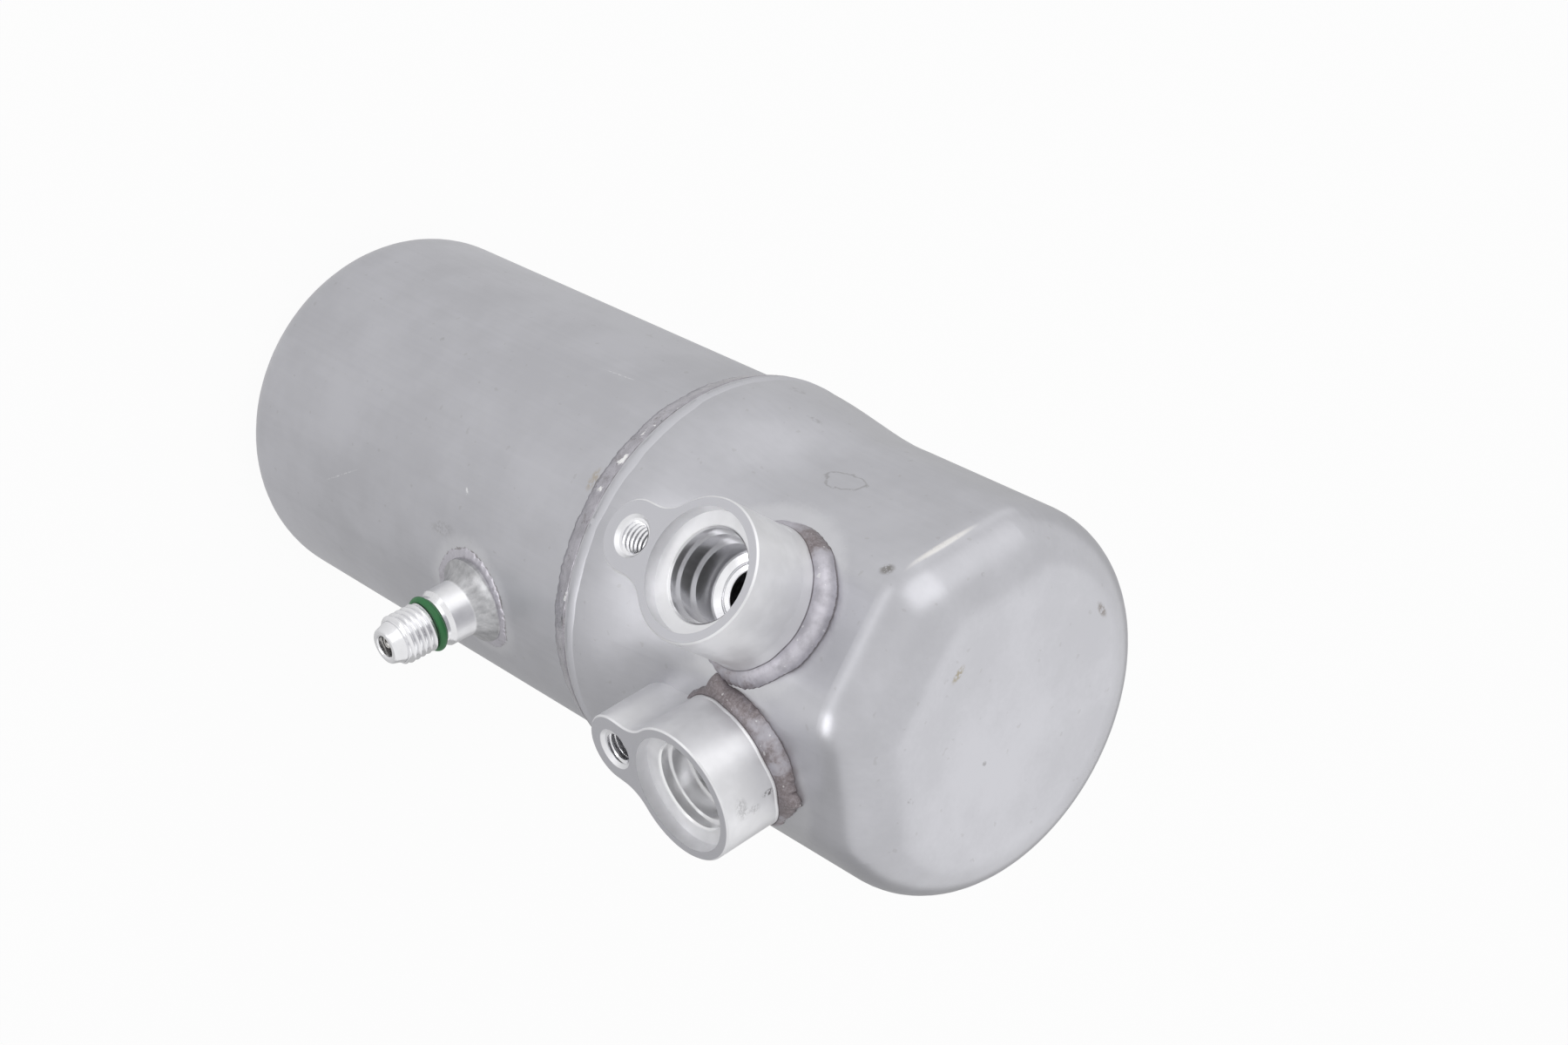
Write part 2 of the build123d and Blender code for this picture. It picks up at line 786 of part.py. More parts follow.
bag_corners = [
    (side * bag_corner_side, across)
    for side in (-1, 1)
    for across in (bag_near + bag_corner_radius, bag_corner_reach)
]

with BuildPart() as desiccant_bag:
    with BuildSketch(floor_plane.offset(bag_base_height)):
        with Locations((0, bag_near + bag_thickness / 2)):
            RectangleRounded(2 * bag_half_width, bag_thickness, bag_corner_radius)
    extrude(amount=bag_top_height - bag_base_height)
    bag_ends = desiccant_bag.edges().group_by(Axis.Z)
    fillet(bag_ends[0] + bag_ends[-1], bag_end_radius)
desiccant_bag.part.label = "desiccant_bag"
export_step(desiccant_bag.part, "parts/desiccant_bag.step")


def tie_outline(grow):
    """Tight outline round the legs and the bag, moved out by grow."""
    for leg in (-leg_offset, leg_offset):
        CenterArc((leg, 0), tube_radius + grow, 0, 360)
    for corner in bag_corners:
        CenterArc(corner, bag_corner_radius + grow, 0, 360)


for name, tie_height in (
    ("lower_tie", bag_base_height + tie_inset),
    ("upper_tie", bag_top_height - tie_inset),
):
    with BuildPart() as tie:
        for grow, mode in ((tube_clearance + tie_thickness, Mode.ADD), (tube_clearance, Mode.SUBTRACT)):
            with BuildSketch(floor_plane.offset(tie_height - tie_width / 2)):
                with BuildLine():
                    tie_outline(grow)
                make_hull()
            extrude(amount=tie_width, mode=mode)
    tie.part.label = name
    export_step(tie.part, "parts/" + name + ".step")
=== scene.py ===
import json
import math

import bmesh
import bpy
from bpy.props import FloatProperty, FloatVectorProperty, PointerProperty
from bpy.types import NodeSocket, Operator, Panel, PropertyGroup
from mathutils import Euler, Matrix, Vector, noise
from mathutils.bvhtree import BVHTree


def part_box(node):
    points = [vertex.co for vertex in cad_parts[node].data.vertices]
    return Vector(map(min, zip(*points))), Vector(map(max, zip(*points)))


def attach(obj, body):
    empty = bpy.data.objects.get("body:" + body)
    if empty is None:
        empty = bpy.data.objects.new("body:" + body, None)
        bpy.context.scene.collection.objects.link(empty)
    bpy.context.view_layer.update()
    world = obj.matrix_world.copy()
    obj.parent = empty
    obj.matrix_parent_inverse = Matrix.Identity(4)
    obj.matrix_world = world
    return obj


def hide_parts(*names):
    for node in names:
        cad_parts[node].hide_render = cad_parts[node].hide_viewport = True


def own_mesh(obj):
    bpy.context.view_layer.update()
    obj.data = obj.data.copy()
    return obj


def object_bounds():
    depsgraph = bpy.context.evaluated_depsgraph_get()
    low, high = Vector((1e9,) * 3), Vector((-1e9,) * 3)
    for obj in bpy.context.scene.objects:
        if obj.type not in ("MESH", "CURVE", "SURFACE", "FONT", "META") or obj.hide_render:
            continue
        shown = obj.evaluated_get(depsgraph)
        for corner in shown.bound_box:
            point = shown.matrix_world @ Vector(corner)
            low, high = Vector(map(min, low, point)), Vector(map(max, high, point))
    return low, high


bl_info = {
    "name": "Receiver drier",
    "version": (1, 0, 0),
    "blender": (4, 5, 0),
    "location": "View3D > Sidebar > Drier",
    "description": "Metal finishes, weld beads, threads and studio for an air-conditioning receiver drier",
    "category": "Object",
}

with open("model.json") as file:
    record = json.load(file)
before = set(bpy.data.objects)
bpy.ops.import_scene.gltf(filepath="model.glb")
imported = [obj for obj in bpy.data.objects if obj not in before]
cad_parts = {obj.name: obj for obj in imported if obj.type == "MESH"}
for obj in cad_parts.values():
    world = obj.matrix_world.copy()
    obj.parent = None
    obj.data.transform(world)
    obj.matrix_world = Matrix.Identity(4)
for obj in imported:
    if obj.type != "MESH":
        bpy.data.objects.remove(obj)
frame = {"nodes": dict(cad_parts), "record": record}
cad_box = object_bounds()
nodes = frame["nodes"]
mounts = {mount["name"]: mount for mount in frame["record"]["mounts"]}
can_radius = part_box("lower_can")[1][0]
MM = 0.001
TURN = 2 * math.pi
UP = Vector((0, 0, 1))
# How far from the can's axis the rays at its skins start, outside all of them
RAY_START = 80 * MM

# Colours that several marks share
GRIME = (0.26, 0.25, 0.25)
BARE_METAL = (0.85, 0.85, 0.86)


# Places on the object


def in_metres(points):
    """Points of an outline that are given in mm."""
    return [(radius * MM, height * MM) for radius, height in points]


def frame_at(origin, axis):
    """A frame with a level axis as local Z; X runs round the can, Y runs up."""
    across = UP.cross(axis).normalized()
    matrix = Matrix((across, axis.cross(across), axis)).transposed().to_4x4()
    matrix.translation = origin
    return matrix


def radial_frame(mount_name):
    """The frame on the can's axis whose local Z is the mount's axis."""
    mount = mounts[mount_name]
    place, axis = Vector(mount["pos_m"]), Vector(mount["axis"])
    return frame_at(place - axis * place.dot(axis), axis)


def mount_distance(mount_name):
    """How far the mount's point lies from the can's axis, along its own axis."""
    mount = mounts[mount_name]
    return Vector(mount["pos_m"]).dot(Vector(mount["axis"]))


def around(radius, angle):
    """X and Y at a radius and an angle round the Z axis."""
    return radius * math.cos(angle), radius * math.sin(angle)


def skin_of(*names):
    """Trees to cast rays at the skins of some nodes."""
    depsgraph = bpy.context.evaluated_depsgraph_get()
    return [BVHTree.FromObject(nodes[name], depsgraph) for name in names]


def skin_height(skins, matrix, x, y):
    """Local height of the outermost skin above a local point, or None where there is no skin."""
    start = matrix @ Vector((x, y, RAY_START))
    inwards = -matrix.col[2].to_3d()
    hits = [skin.ray_cast(start, inwards, RAY_START)[0] for skin in skins]
    heights = [(matrix.inverted() @ hit).z for hit in hits if hit is not None]
    return max(heights) if heights else None


# Mesh building


def finish_piece(bm, name, matrix, material, sharp=40):
    """Turns a bmesh into a named piece that rides on the canister, with its place in its mesh."""
    bmesh.ops.recalc_face_normals(bm, faces=bm.faces)
    bmesh.ops.transform(bm, matrix=matrix, verts=bm.verts)
    for face in bm.faces:
        face.smooth = True
    for edge in bm.edges:
        edge.smooth = edge.calc_face_angle(0) < math.radians(sharp)
    mesh = bpy.data.meshes.new(name)
    bm.to_mesh(mesh)
    bm.free()
    mesh.materials.append(material)
    piece = bpy.data.objects.new(name, mesh)
    bpy.context.collection.objects.link(piece)
    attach(piece, "canister")
    return piece


def lathe(outline, segments):
    """Spins a closed outline of (radius, height) points round local Z."""
    bm = bmesh.new()
    points = [bm.verts.new((radius, 0, height)) for radius, height in outline]
    edges = [bm.edges.new((a, b)) for a, b in zip(points, points[1:] + points[:1])]
    bmesh.ops.spin(bm, geom=points + edges, axis=(0, 0, 1), angle=TURN, steps=segments, use_merge=True)
    bmesh.ops.remove_doubles(bm, verts=bm.verts, dist=1e-7)
    return bm


def coil(outline, start, pitch, turns, per_turn):
    """Sweeps a closed outline of (radius, height) points up a right-hand helix round local Z."""
    bm = bmesh.new()
    points = [bm.verts.new((radius, 0, height)) for radius, height in outline]
    face = bm.faces.new(points)
    swept, rise = [*points, *face.edges, face], (0, 0, pitch / per_turn)
    steps = round(turns * per_turn)
    bmesh.ops.spin(bm, geom=swept, axis=(0, 0, 1), dvec=rise, angle=TURN * turns, steps=steps)
    bmesh.ops.remove_doubles(bm, verts=bm.verts, dist=1e-7)
    bmesh.ops.translate(bm, vec=(0, 0, start), verts=bm.verts)
    return bm


def circle(centre, radius, steps):
    """A round outline for lathe or coil."""
    angles = [TURN * step / steps for step in range(steps)]
    return [(centre + radius * math.cos(angle), radius * math.sin(angle)) for angle in angles]


def clip(bm, low, high):
    """Cuts a bmesh off below one local height and above another, and closes the cuts."""
    for height, normal in ((low, (0, 0, -1)), (high, (0, 0, 1))):
        parts = [*bm.verts, *bm.edges, *bm.faces]
        bmesh.ops.bisect_plane(bm, geom=parts, plane_co=(0, 0, height), plane_no=normal, clear_outer=True)
        rim = [edge for edge in bm.edges if edge.is_boundary]
        bmesh.ops.holes_fill(bm, edges=rim, sides=0)


def near_angle(angle, middle, half_width):
    """1 at an angle in degrees round local Z, falling smoothly to 0 at a distance from it."""
    apart = abs((math.degrees(angle) - middle + 180) % 360 - 180) / half_width
    return 0.5 + 0.5 * math.cos(math.pi * min(1.0, apart))


def ring_of_loops(count, segments, place_point, marks=None):
    """A closed tube of loops round local Z; place_point(loop, angle) says where each point goes.

    marks(loop, angle), if given, returns the values of the "bead" attribute: share across and grime.
    """
    bm = bmesh.new()
    layer = bm.verts.layers.float_vector.new("bead") if marks else None
    bmesh.ops.create_circle(bm, segments=segments, radius=1.0)
    loops = [(bm.verts[:], bm.edges[:])]
    for _ in range(count - 1):
        made = bmesh.ops.extrude_edge_only(bm, edges=loops[-1][1])["geom"]
        points = [item for item in made if isinstance(item, bmesh.types.BMVert)]
        edges = [item for item in made if isinstance(item, bmesh.types.BMEdge)]
        fresh = set(points)
        loops.append((points, [edge for edge in edges if fresh.issuperset(edge.verts)]))
    bmesh.ops.bridge_loops(bm, edges=loops[0][1] + loops[-1][1])
    for index, (points, _) in enumerate(loops):
        for point in points:
            angle = math.atan2(point.co.y, point.co.x)
            point.co = place_point(index, angle)
            if marks:
                point[layer] = (*marks(index, angle), 0.0)
    return bm


def jitter(angle, radius, size, seed):
    """Smooth unevenness round a ring, between about -1 and 1, with bumps of a given size."""
    place = Vector((*around(1, angle), 0)) * (radius / size)
    return noise.noise(place + UP * seed) * 1.6


# Material building


def shades(colour, *factors):
    """Darker and lighter versions of a colour."""
    return [tuple(factor * c for c in colour) for factor in factors]


class NodeBuilder:
    """Adds nodes to a shader's tree; values may be sockets or numbers, colours sockets or three numbers."""

    def __init__(self, tree):
        self.tree = tree

    def put(self, kind, sockets=None, output=0, **settings):
        """Adds a node with its settings and sockets, and returns one of its outputs."""
        node = self.tree.nodes.new("ShaderNode" + kind)
        for key, value in settings.items():
            setattr(node, key, value)
        for key, value in (sockets or {}).items():
            if isinstance(value, NodeSocket):
                self.tree.links.new(value, node.inputs[key])
            else:
                node.inputs[key].default_value = value
        return node.outputs[output]

    def calc(self, operation, *values):
        return self.put("Math", dict(enumerate(values)), operation=operation)

    def times(self, first, second):
        return self.calc("MULTIPLY", first, second)

    def scaled(self, value, factor, added):
        """The value times a factor, plus another value."""
        return self.calc("MULTIPLY_ADD", value, factor, added)

    def fade(self, value, start, end):
        """0 up to start, 1 from end on, and smooth between; start may lie above end."""
        low, high, first, last = (start, end, 0.0, 1.0) if start < end else (end, start, 1.0, 0.0)
        sockets = {"Value": value, "From Min": low, "From Max": high, "To Min": first, "To Max": last}
        return self.put("MapRange", sockets, interpolation_type="SMOOTHSTEP")

    def blend(self, share, first, second):
        """Mixes two colours."""
        colours = [c if isinstance(c, NodeSocket) else (*c, 1.0) for c in (first, second)]
        return self.put("Mix", {0: share, 6: colours[0], 7: colours[1]}, output=2, data_type="RGBA")

    def object_place(self):
        """The point on the piece, in the object's own frame."""
        return self.put("TexCoord", output=3)

    def local_place(self, matrix, size=(1, 1, 1)):
        """The point in the frame that a matrix gives, divided by a size."""
        place, turn = matrix.translation, matrix.to_euler()
        sockets = {"Vector": self.object_place(), "Location": place, "Rotation": turn, "Scale": size}
        return self.put("Mapping", sockets, vector_type="TEXTURE")

    def stretched(self, vector, *scale):
        """A vector scaled along each axis, for grain that runs one way."""
        return self.put("Mapping", {"Vector": vector, "Scale": scale})

    def coordinate(self, vector, index):
        """One coordinate of a vector: 0, 1 or 2."""
        return self.put("SeparateXYZ", {"Vector": vector}, output=index)

    def length(self, vector):
        return self.put("VectorMath", {0: vector}, output=1, operation="LENGTH")

    def axis_distance(self, vector):
        """Distance from the local Z axis."""
        return self.length(self.put("VectorMath", {0: vector, 1: (1, 1, 0)}, operation="MULTIPLY"))

    def ray_kind(self, kind):
        """1 for rays of one kind, such as Camera or Glossy, and 0 for the rest."""
        return self.tree.nodes.new("ShaderNodeLightPath").outputs[f"Is {kind} Ray"]


class Finish(NodeBuilder):
    """A material that is built up in layers, with its colour, roughness and normal so far."""

    def __init__(self, name, colour, roughness=0.5, **surface):
        self.material = bpy.data.materials.new(name)
        self.material.use_nodes = True
        self.material.diffuse_color = (*colour, 1.0)
        super().__init__(self.material.node_tree)
        self.inputs = self.tree.nodes["Principled BSDF"].inputs
        self.inputs["Base Color"].default_value = (*colour, 1.0)
        self.inputs["Roughness"].default_value = roughness
        for key, value in surface.items():
            self.inputs[key.replace("_", " ")].default_value = value
        self.colour, self.rough, self.normal = colour, roughness, None
        self.place = self.object_place()

    def grain(self, scale, detail, roughness, place=None):
        """A Noise texture's grey value, at the point on the piece unless another is given."""
        sockets = {"Vector": place or self.place, "Scale": scale, "Detail": detail, "Roughness": roughness}
        return self.put("TexNoise", sockets)

    def tone(self, share, dark, light):
        """Starts the colour, as a mix of two."""
        self.colour = self.blend(share, dark, light)

    def paint(self, share, tint):
        """Covers a share of the colour so far with a tint."""
        self.colour = self.blend(share, self.colour, tint)

    def emboss(self, height, distance, strength=1.0):
        """Adds relief on top of the normal so far."""
        sockets = {"Height": height, "Distance": distance, "Strength": strength}
        if self.normal:
            sockets["Normal"] = self.normal
        self.normal = self.put("Bump", sockets)

    def done(self):
        """Joins the layers to the shader, and returns the material."""
        for key, value in (("Base Color", self.colour), ("Roughness", self.rough), ("Normal", self.normal)):
            if isinstance(value, NodeSocket):
                self.tree.links.new(value, self.inputs[key])
        return self.material


def dress(node_name, material):
    """Gives a carried-over node its finish."""
    mesh = nodes[node_name].data
    mesh.materials.clear()
    mesh.materials.append(material)


# Settings that a user may change


def colour_setting(name, description, default):
    return FloatVectorProperty(name=name, description=description, default=default, subtype="COLOR")


def length_setting(name, description, default):
    return FloatProperty(name=name, description=description, default=default, subtype="DISTANCE")


def angle_setting(name, description, degrees):
    return FloatProperty(name=name, description=description, default=math.radians(degrees), subtype="ANGLE")


def share_setting(name, description, default):
    return FloatProperty(name=name, description=description, default=default, min=0, max=1)


class MetalLooks(PropertyGroup):
    drawn_colour: colour_setting("Drawn aluminium", "Colour of the can and the shell", (0.522, 0.522, 0.553))
    drawn_roughness: share_setting("Drawn roughness", "Satin of the drawn metal", 0.40)
    machined_colour: colour_setting(
        "Machined aluminium", "Colour of the port blocks and the fitting", (0.85, 0.85, 0.87)
    )
    machined_roughness: share_setting("Machined roughness", "Gloss of the machined metal", 0.42)
    bead_colour: colour_setting("Weld bead", "Colour of clean weld metal", (0.52, 0.505, 0.55))
    soot_colour: colour_setting("Weld soot", "Colour of the soot beside the beads", (0.16, 0.135, 0.135))
    seal_colour: colour_setting("Seal ring", "Colour of the fitting's rubber ring", (0.018, 0.155, 0.042))


class BlockLooks(PropertyGroup):
    lobe_radius: length_setting("Lobe radius", "Radius of the lobe round the bolt hole", 8.0 * MM)
    web_radius: length_setting("Web radius", "Radius of the hollow between lobe and boss", 9.0 * MM)


class BeadLooks(PropertyGroup):
    lip_rise: length_setting(
        "Lip rise", "How far the shell's melted lip stands proud of its collar", 0.16 * MM
    )
    boss_radius: length_setting("Boss radius", "Radius of the bosses that the port beads join", 15.5 * MM)


class FittingLooks(PropertyGroup):
    thread_root: length_setting("Thread root", "Root radius of the fitting's thread", 5.15 * MM)
    thread_pitch: length_setting("Fitting pitch", "Pitch of the fitting's thread", 1.5 * MM)
    hole_pitch: length_setting("Bolt hole pitch", "Pitch of the bolt holes' threads", 1.25 * MM)


class StageLooks(PropertyGroup):
    camera_place: FloatVectorProperty(
        name="Camera place",
        description="Where the camera stands",
        subtype="TRANSLATION",
        default=(-0.01611, -0.46832, 0.56569),
    )
    camera_tilt: angle_setting("Camera tilt", "Tilt up from looking straight down", 48.07)
    camera_roll: angle_setting("Camera roll", "Turn about the line of sight", 116.26)
    lens: FloatProperty(name="Lens", description="Focal length on a 36 mm sensor, in mm", default=64.04)
    world_light: FloatProperty(
        name="Studio light", description="Strength of the soft light from all round", default=0.62
    )


# Finishes of the pressed and drawn metal


def drawn_metal(name, polish=0.0):
    """Satin drawn aluminium: cloudy, with faint drawing lines, dark specks and a fine grain."""
    looks = bpy.context.scene.drier_metal
    metal = Finish(name, looks.drawn_colour, Metallic=0.85)
    clouds = metal.grain(38, 4, 0.6)
    lines = metal.grain(1.0, 2, 0.5, metal.stretched(metal.place, 900, 900, 12))
    mottle = metal.calc("ADD", metal.times(clouds, 0.86), metal.times(lines, 0.14))
    metal.tone(metal.fade(mottle, 0.33, 0.67), *shades(looks.drawn_colour, 0.93, 1.05))
    specks = metal.fade(metal.grain(520, 1, 0.4), 0.73, 0.78)
    metal.paint(metal.times(specks, 0.22), (0.32, 0.31, 0.30))
    metal.rough = metal.scaled(clouds, 0.10, looks.drawn_roughness - polish - 0.05)
    metal.emboss(clouds, 0.05 * MM, 0.5)
    metal.emboss(metal.grain(2600, 2, 0.6), 0.012 * MM, 0.6)
    return metal


def bead_surroundings(metal, matrix, toe, seed, soot_strength=0.0):
    """A pale halo beyond a bead's toe and, where its strength isn't 0, jagged soot at the toe."""
    local = metal.local_place(matrix)
    ragged = metal.grain(850 + seed, 6, 0.7, local)
    distance = metal.scaled(ragged, 2.6 * MM, metal.axis_distance(local))
    distance = metal.scaled(metal.grain(90 + seed, 2, 0.5, local), -2.4 * MM, distance)
    near_side = metal.fade(metal.coordinate(local, 2), 0.0, 10 * MM)
    halo = metal.times(metal.fade(distance, toe + 4.5 * MM, toe + 1.0 * MM), 0.35)
    metal.paint(metal.times(halo, near_side), (0.74, 0.74, 0.76))
    if soot_strength:
        soot = metal.times(metal.fade(distance, toe + 0.75 * MM, toe + 0.35 * MM), soot_strength)
        soot = metal.times(soot, near_side)
        metal.paint(soot, bpy.context.scene.drier_metal.soot_colour)
        metal.rough = metal.scaled(soot, 0.25, metal.rough)


def mark_on(metal, seed, spot, size, tint, strength, turn=0.0, bite=0.5, hollow=0.0):
    """A broken mark, such as a scuff, a stain or a painted highlight: a stretched patch on the skin, or its
    outline if hollow, filled with ragged grain.

    The spot and the size are in mm, the size round the can, up it and into it; a higher bite leaves
    less of the patch.
    """
    spot = Vector(spot) * MM
    outwards = Vector((spot.x, spot.y, 0)).normalized()
    matrix = frame_at(spot, outwards) @ Matrix.Rotation(turn, 4, "Z")
    reach = metal.length(metal.local_place(matrix, [value * MM for value in size]))
    if hollow:
        bent = metal.calc("SUBTRACT", metal.grain(260 + seed, 2, 0.5), 0.5)
        reach = metal.scaled(bent, 0.9, reach)
    ragged = metal.fade(metal.grain(1100 + seed, 5, 0.75), bite - 0.06, bite + 0.06)
    share = metal.times(metal.fade(reach, 1.0, max(0.35, hollow)), ragged)
    if hollow:
        share = metal.times(share, metal.fade(reach, 2 * hollow - 1, hollow))
    metal.paint(metal.times(share, strength), tint)


class DRIER_OT_skins(Operator):
    """Finish the lower can and the pressed upper shell, with their soot, scuffs and scratches, and a painted
    highlight along the shell's top edge
    """

    bl_idname = "drier.skins"
    bl_label = "Can and shell"

    def execute(self, context):
        metal = drawn_metal("can_skin")
        bead_surroundings(metal, radial_frame("switch_thread"), 11.9 * MM, 5, 0.55)
        fitting_height = mounts["switch_thread"]["pos_m"][2] / MM
        # Azimuth and mm above the fitting, then the values of mark_on from the size on
        marks = (
            (-64, -11, (2.2, 5.5, 6), GRIME, 0.35, 0.2, 0.5),
            (-98, 30.5, (3.6, 1.5, 6), (0.42, 0.36, 0.28), 0.7, 0.0, 0.48),
            (-78, -5, (1.6, 0.5, 6), BARE_METAL, 0.9, 0.6, 0.5),
            (-63, -52, (0.25, 9.0, 6), BARE_METAL, 0.5, 0.5, 0.5),
            (-131, 12, (0.25, 7.0, 6), BARE_METAL, 0.5, 0.1, 0.5),
            (-115, -40, (1.2, 1.0, 6), GRIME, 0.4, 0.0, 0.52),
        )
        for seed, (azimuth, above, *how) in enumerate(marks):
            spot = (*around(can_radius / MM, math.radians(azimuth)), fitting_height + above)
            mark_on(metal, seed, spot, *how)
        dress("lower_can", metal.done())

        metal = drawn_metal("shell_skin", polish=0.09)
        for port, toe, seed in (("outlet_bore", 18.6, 1), ("inlet_bore", 19.6, 2)):
            bead_surroundings(metal, radial_frame(port), toe * MM, seed)
        top = cad_box[1].z / MM
        # Spot in mm, then the values of mark_on from the size on
        marks = (
            ((-29.4, -29.1, 181.5), (3.2, 5.4, 6), GRIME, 0.55, 0.1, 0.45, 0.88),
            ((-42.4, -16.1, 146.4), (2.2, 3.0, 6), GRIME, 0.45, 0.4, 0.52),
            ((-37.6, -20.9, 159.5), (0.9, 3.2, 6), GRIME, 0.4, 0.2, 0.5),
            ((-17.2, -41.0, 211.4), (1.7, 2.2, 6), (0.22, 0.21, 0.20), 0.9, 0.6, 0.46),
            # Painted highlight: a thin cream line along the rounded edge between a flat and the top face
            ((-26.2, -32.3, 215.0), (12, 1.0, 6), (0.88, 0.86, 0.83), 0.7, 0.0, 0.36),
            ((-4.2, -23.1, top), (2.8, 6, 1.2), (0.33, 0.29, 0.21), 0.85, 0.0, 0.47),
            ((-19.7, -38.7, top), (1.0, 6, 0.8), GRIME, 0.6, 0.0, 0.48),
            ((-24.4, -26.8, top), (0.8, 6, 0.6), GRIME, 0.6, 0.0, 0.48),
            ((-29.2, 11.3, top), (3.2, 6, 1.2), (0.26, 0.24, 0.23), 0.9, 0.0, 0.48),
            ((10.2, -1.9, top), (0.8, 6, 0.8), GRIME, 0.7, 0.0, 0.5),
            ((23.0, -18.8, top), (0.7, 6, 0.9), GRIME, 0.7, 0.0, 0.5),
        )
        for seed, mark in enumerate(marks, 40):
            mark_on(metal, seed, *mark)
        dress("upper_shell", metal.done())
        return {"FINISHED"}


# Machined blocks and their threaded holes


def machined_metal(name, matrix, tint=1.0, roughness=None, metallic=0.9):
    """Turned and milled aluminium with tool lines round a local axis, and the place in that axis's frame."""
    looks = bpy.context.scene.drier_metal
    dark, base = shades(looks.machined_colour, 0.9 * tint, tint)
    metal = Finish(name, base, Metallic=metallic)
    local = metal.local_place(matrix)
    clouds = metal.grain(120, 3, 0.6, local)
    metal.tone(metal.fade(clouds, 0.35, 0.7), dark, base)
    level = looks.machined_roughness if roughness is None else roughness
    metal.rough = metal.scaled(clouds, 0.12, level - 0.06)
    rings = metal.put("CombineXYZ", {"X": metal.axis_distance(local), "Y": metal.coordinate(local, 2)})
    metal.emboss(metal.grain(3800, 2, 0.7, rings), 0.006 * MM, 0.5)
    return metal, local


def bright_turned_metal(name, matrix):
    """The glossier metal of a freshly cut thread or seat."""
    return machined_metal(name, matrix, 1.1, 0.2, 1.0)[0].done()


def hole_thread(mount_name):
    """Screw thread that lines a bolt hole, from its wall inwards."""
    matrix = radial_frame(mount_name)
    dims = mounts[mount_name]["dims"]
    wall, length = dims["r_mm"] * MM, dims["length_mm"] * MM
    pitch = bpy.context.scene.drier_fitting.hole_pitch
    sunk_wall, crest = wall + 0.02 * MM, wall - 0.54 * pitch
    root_half, crest_half = 0.47 * pitch, 0.09 * pitch
    outline = ((sunk_wall, -root_half), (sunk_wall, root_half), (crest, crest_half), (crest, -crest_half))
    start = mount_distance(mount_name) - length / 2 - pitch
    bm = coil(outline, start, pitch, length / pitch + 2, 48)
    clip(bm, start + pitch, start + pitch + length)
    material = bright_turned_metal(mount_name + "_metal", matrix)
    finish_piece(bm, mount_name + "_thread", matrix, material, sharp=30)


def lobe_foot(side, material):
    """The foot of a block's lobe, between its flat underside and the shell's sloping skin."""
    looks = bpy.context.scene.drier_blocks
    boss = bpy.context.scene.drier_beads.boss_radius
    lobe, web = looks.lobe_radius, looks.web_radius
    matrix = radial_frame(side + "_bore")
    hole = matrix.inverted() @ Vector(mounts[side + "_bolt_hole"]["pos_m"])
    reach = math.hypot(hole.x, hole.y)
    matrix = matrix @ Matrix.Rotation(math.atan2(hole.y, hole.x) + math.pi / 2, 4, "Z")
    web_y = ((boss + web) ** 2 + reach**2 - (lobe + web) ** 2) / (2 * reach)
    web_x = math.sqrt((boss + web) ** 2 - web_y**2)
    boss_end = -web_y * boss / (boss + web)
    lobe_end = -reach + (reach - web_y) * lobe / (lobe + web)

    def within(x, y):
        """Whether a point lies in the keyhole outline, outside the boss's core."""
        if math.hypot(x, y) < 0.85 * boss:
            return False
        if math.hypot(x, y + reach) <= lobe or math.hypot(x, y) <= boss:
            return True
        return lobe_end <= y <= boss_end and abs(x) < web_x and math.hypot(abs(x) - web_x, y + web_y) >= web

    def edge_reach(angle):
        """Distance from the hole's axis to the outline, found by halving."""
        low, high = 0.88 * lobe, 1.8 * lobe
        for _ in range(24):
            middle = (low + high) / 2
            if within(middle * math.cos(angle), middle * math.sin(angle) - reach):
                low = middle
            else:
                high = middle
        return low

    skins = skin_of("upper_shell")
    block = skin_of(side + "_block")[0]
    start = matrix @ Vector((0.85 * lobe, -reach, can_radius))
    underside = (matrix.inverted() @ block.ray_cast(start, matrix.col[2].to_3d())[0]).z
    inset, rise, sink, inner = 0.02 * MM, 0.5 * MM, 0.3 * MM, 0.5 * lobe

    def place_point(loop, angle):
        distance = edge_reach(angle) - inset if loop in (1, 2) else inner
        x, y = distance * math.cos(angle), distance * math.sin(angle) - reach
        if loop in (0, 1):
            return Vector((x, y, underside + rise))
        skin = skin_height(skins, matrix, x, y) or 0.9 * can_radius
        return Vector((x, y, skin - sink))

    bm = ring_of_loops(4, 192, place_point)
    finish_piece(bm, side + "_lobe_foot", matrix, material, sharp=35)


def mouth_ring(side):
    """Bright turned ring at the floor of a port's pocket, round the mouth of its tube."""
    pocket = mounts[side + "_pocket"]["dims"]
    rim, edge, throat, seat = pocket["r_mm"] - 0.04, 6.45, 5.15, 6.5
    base, crown, groove, underside = 0.03, 0.95, -0.35, -1.15
    # Radius and height above the pocket's floor in mm: rim, slope, groove, throat and underside
    outline = (
        (rim, base), (rim, crown), (rim - 0.21, crown), (edge + 0.4, 0.34), (edge + 0.27, 0.2),
        (edge + 0.21, groove), (edge, groove), (edge - 0.05, 0.12), (edge - 0.2, 0.16),
        (throat + 0.15, -0.2), (throat, groove), (throat, underside), (seat, underside), (seat, base),
    )
    matrix = radial_frame(side + "_bore")
    bm = lathe(in_metres(outline), 128)
    floor = mount_distance(side + "_pocket") - pocket["length_mm"] * MM / 2
    bmesh.ops.translate(bm, vec=(0, 0, floor), verts=bm.verts)
    material = bright_turned_metal(side + "_mouth_metal", matrix)
    finish_piece(bm, side + "_mouth_ring", matrix, material, sharp=15)


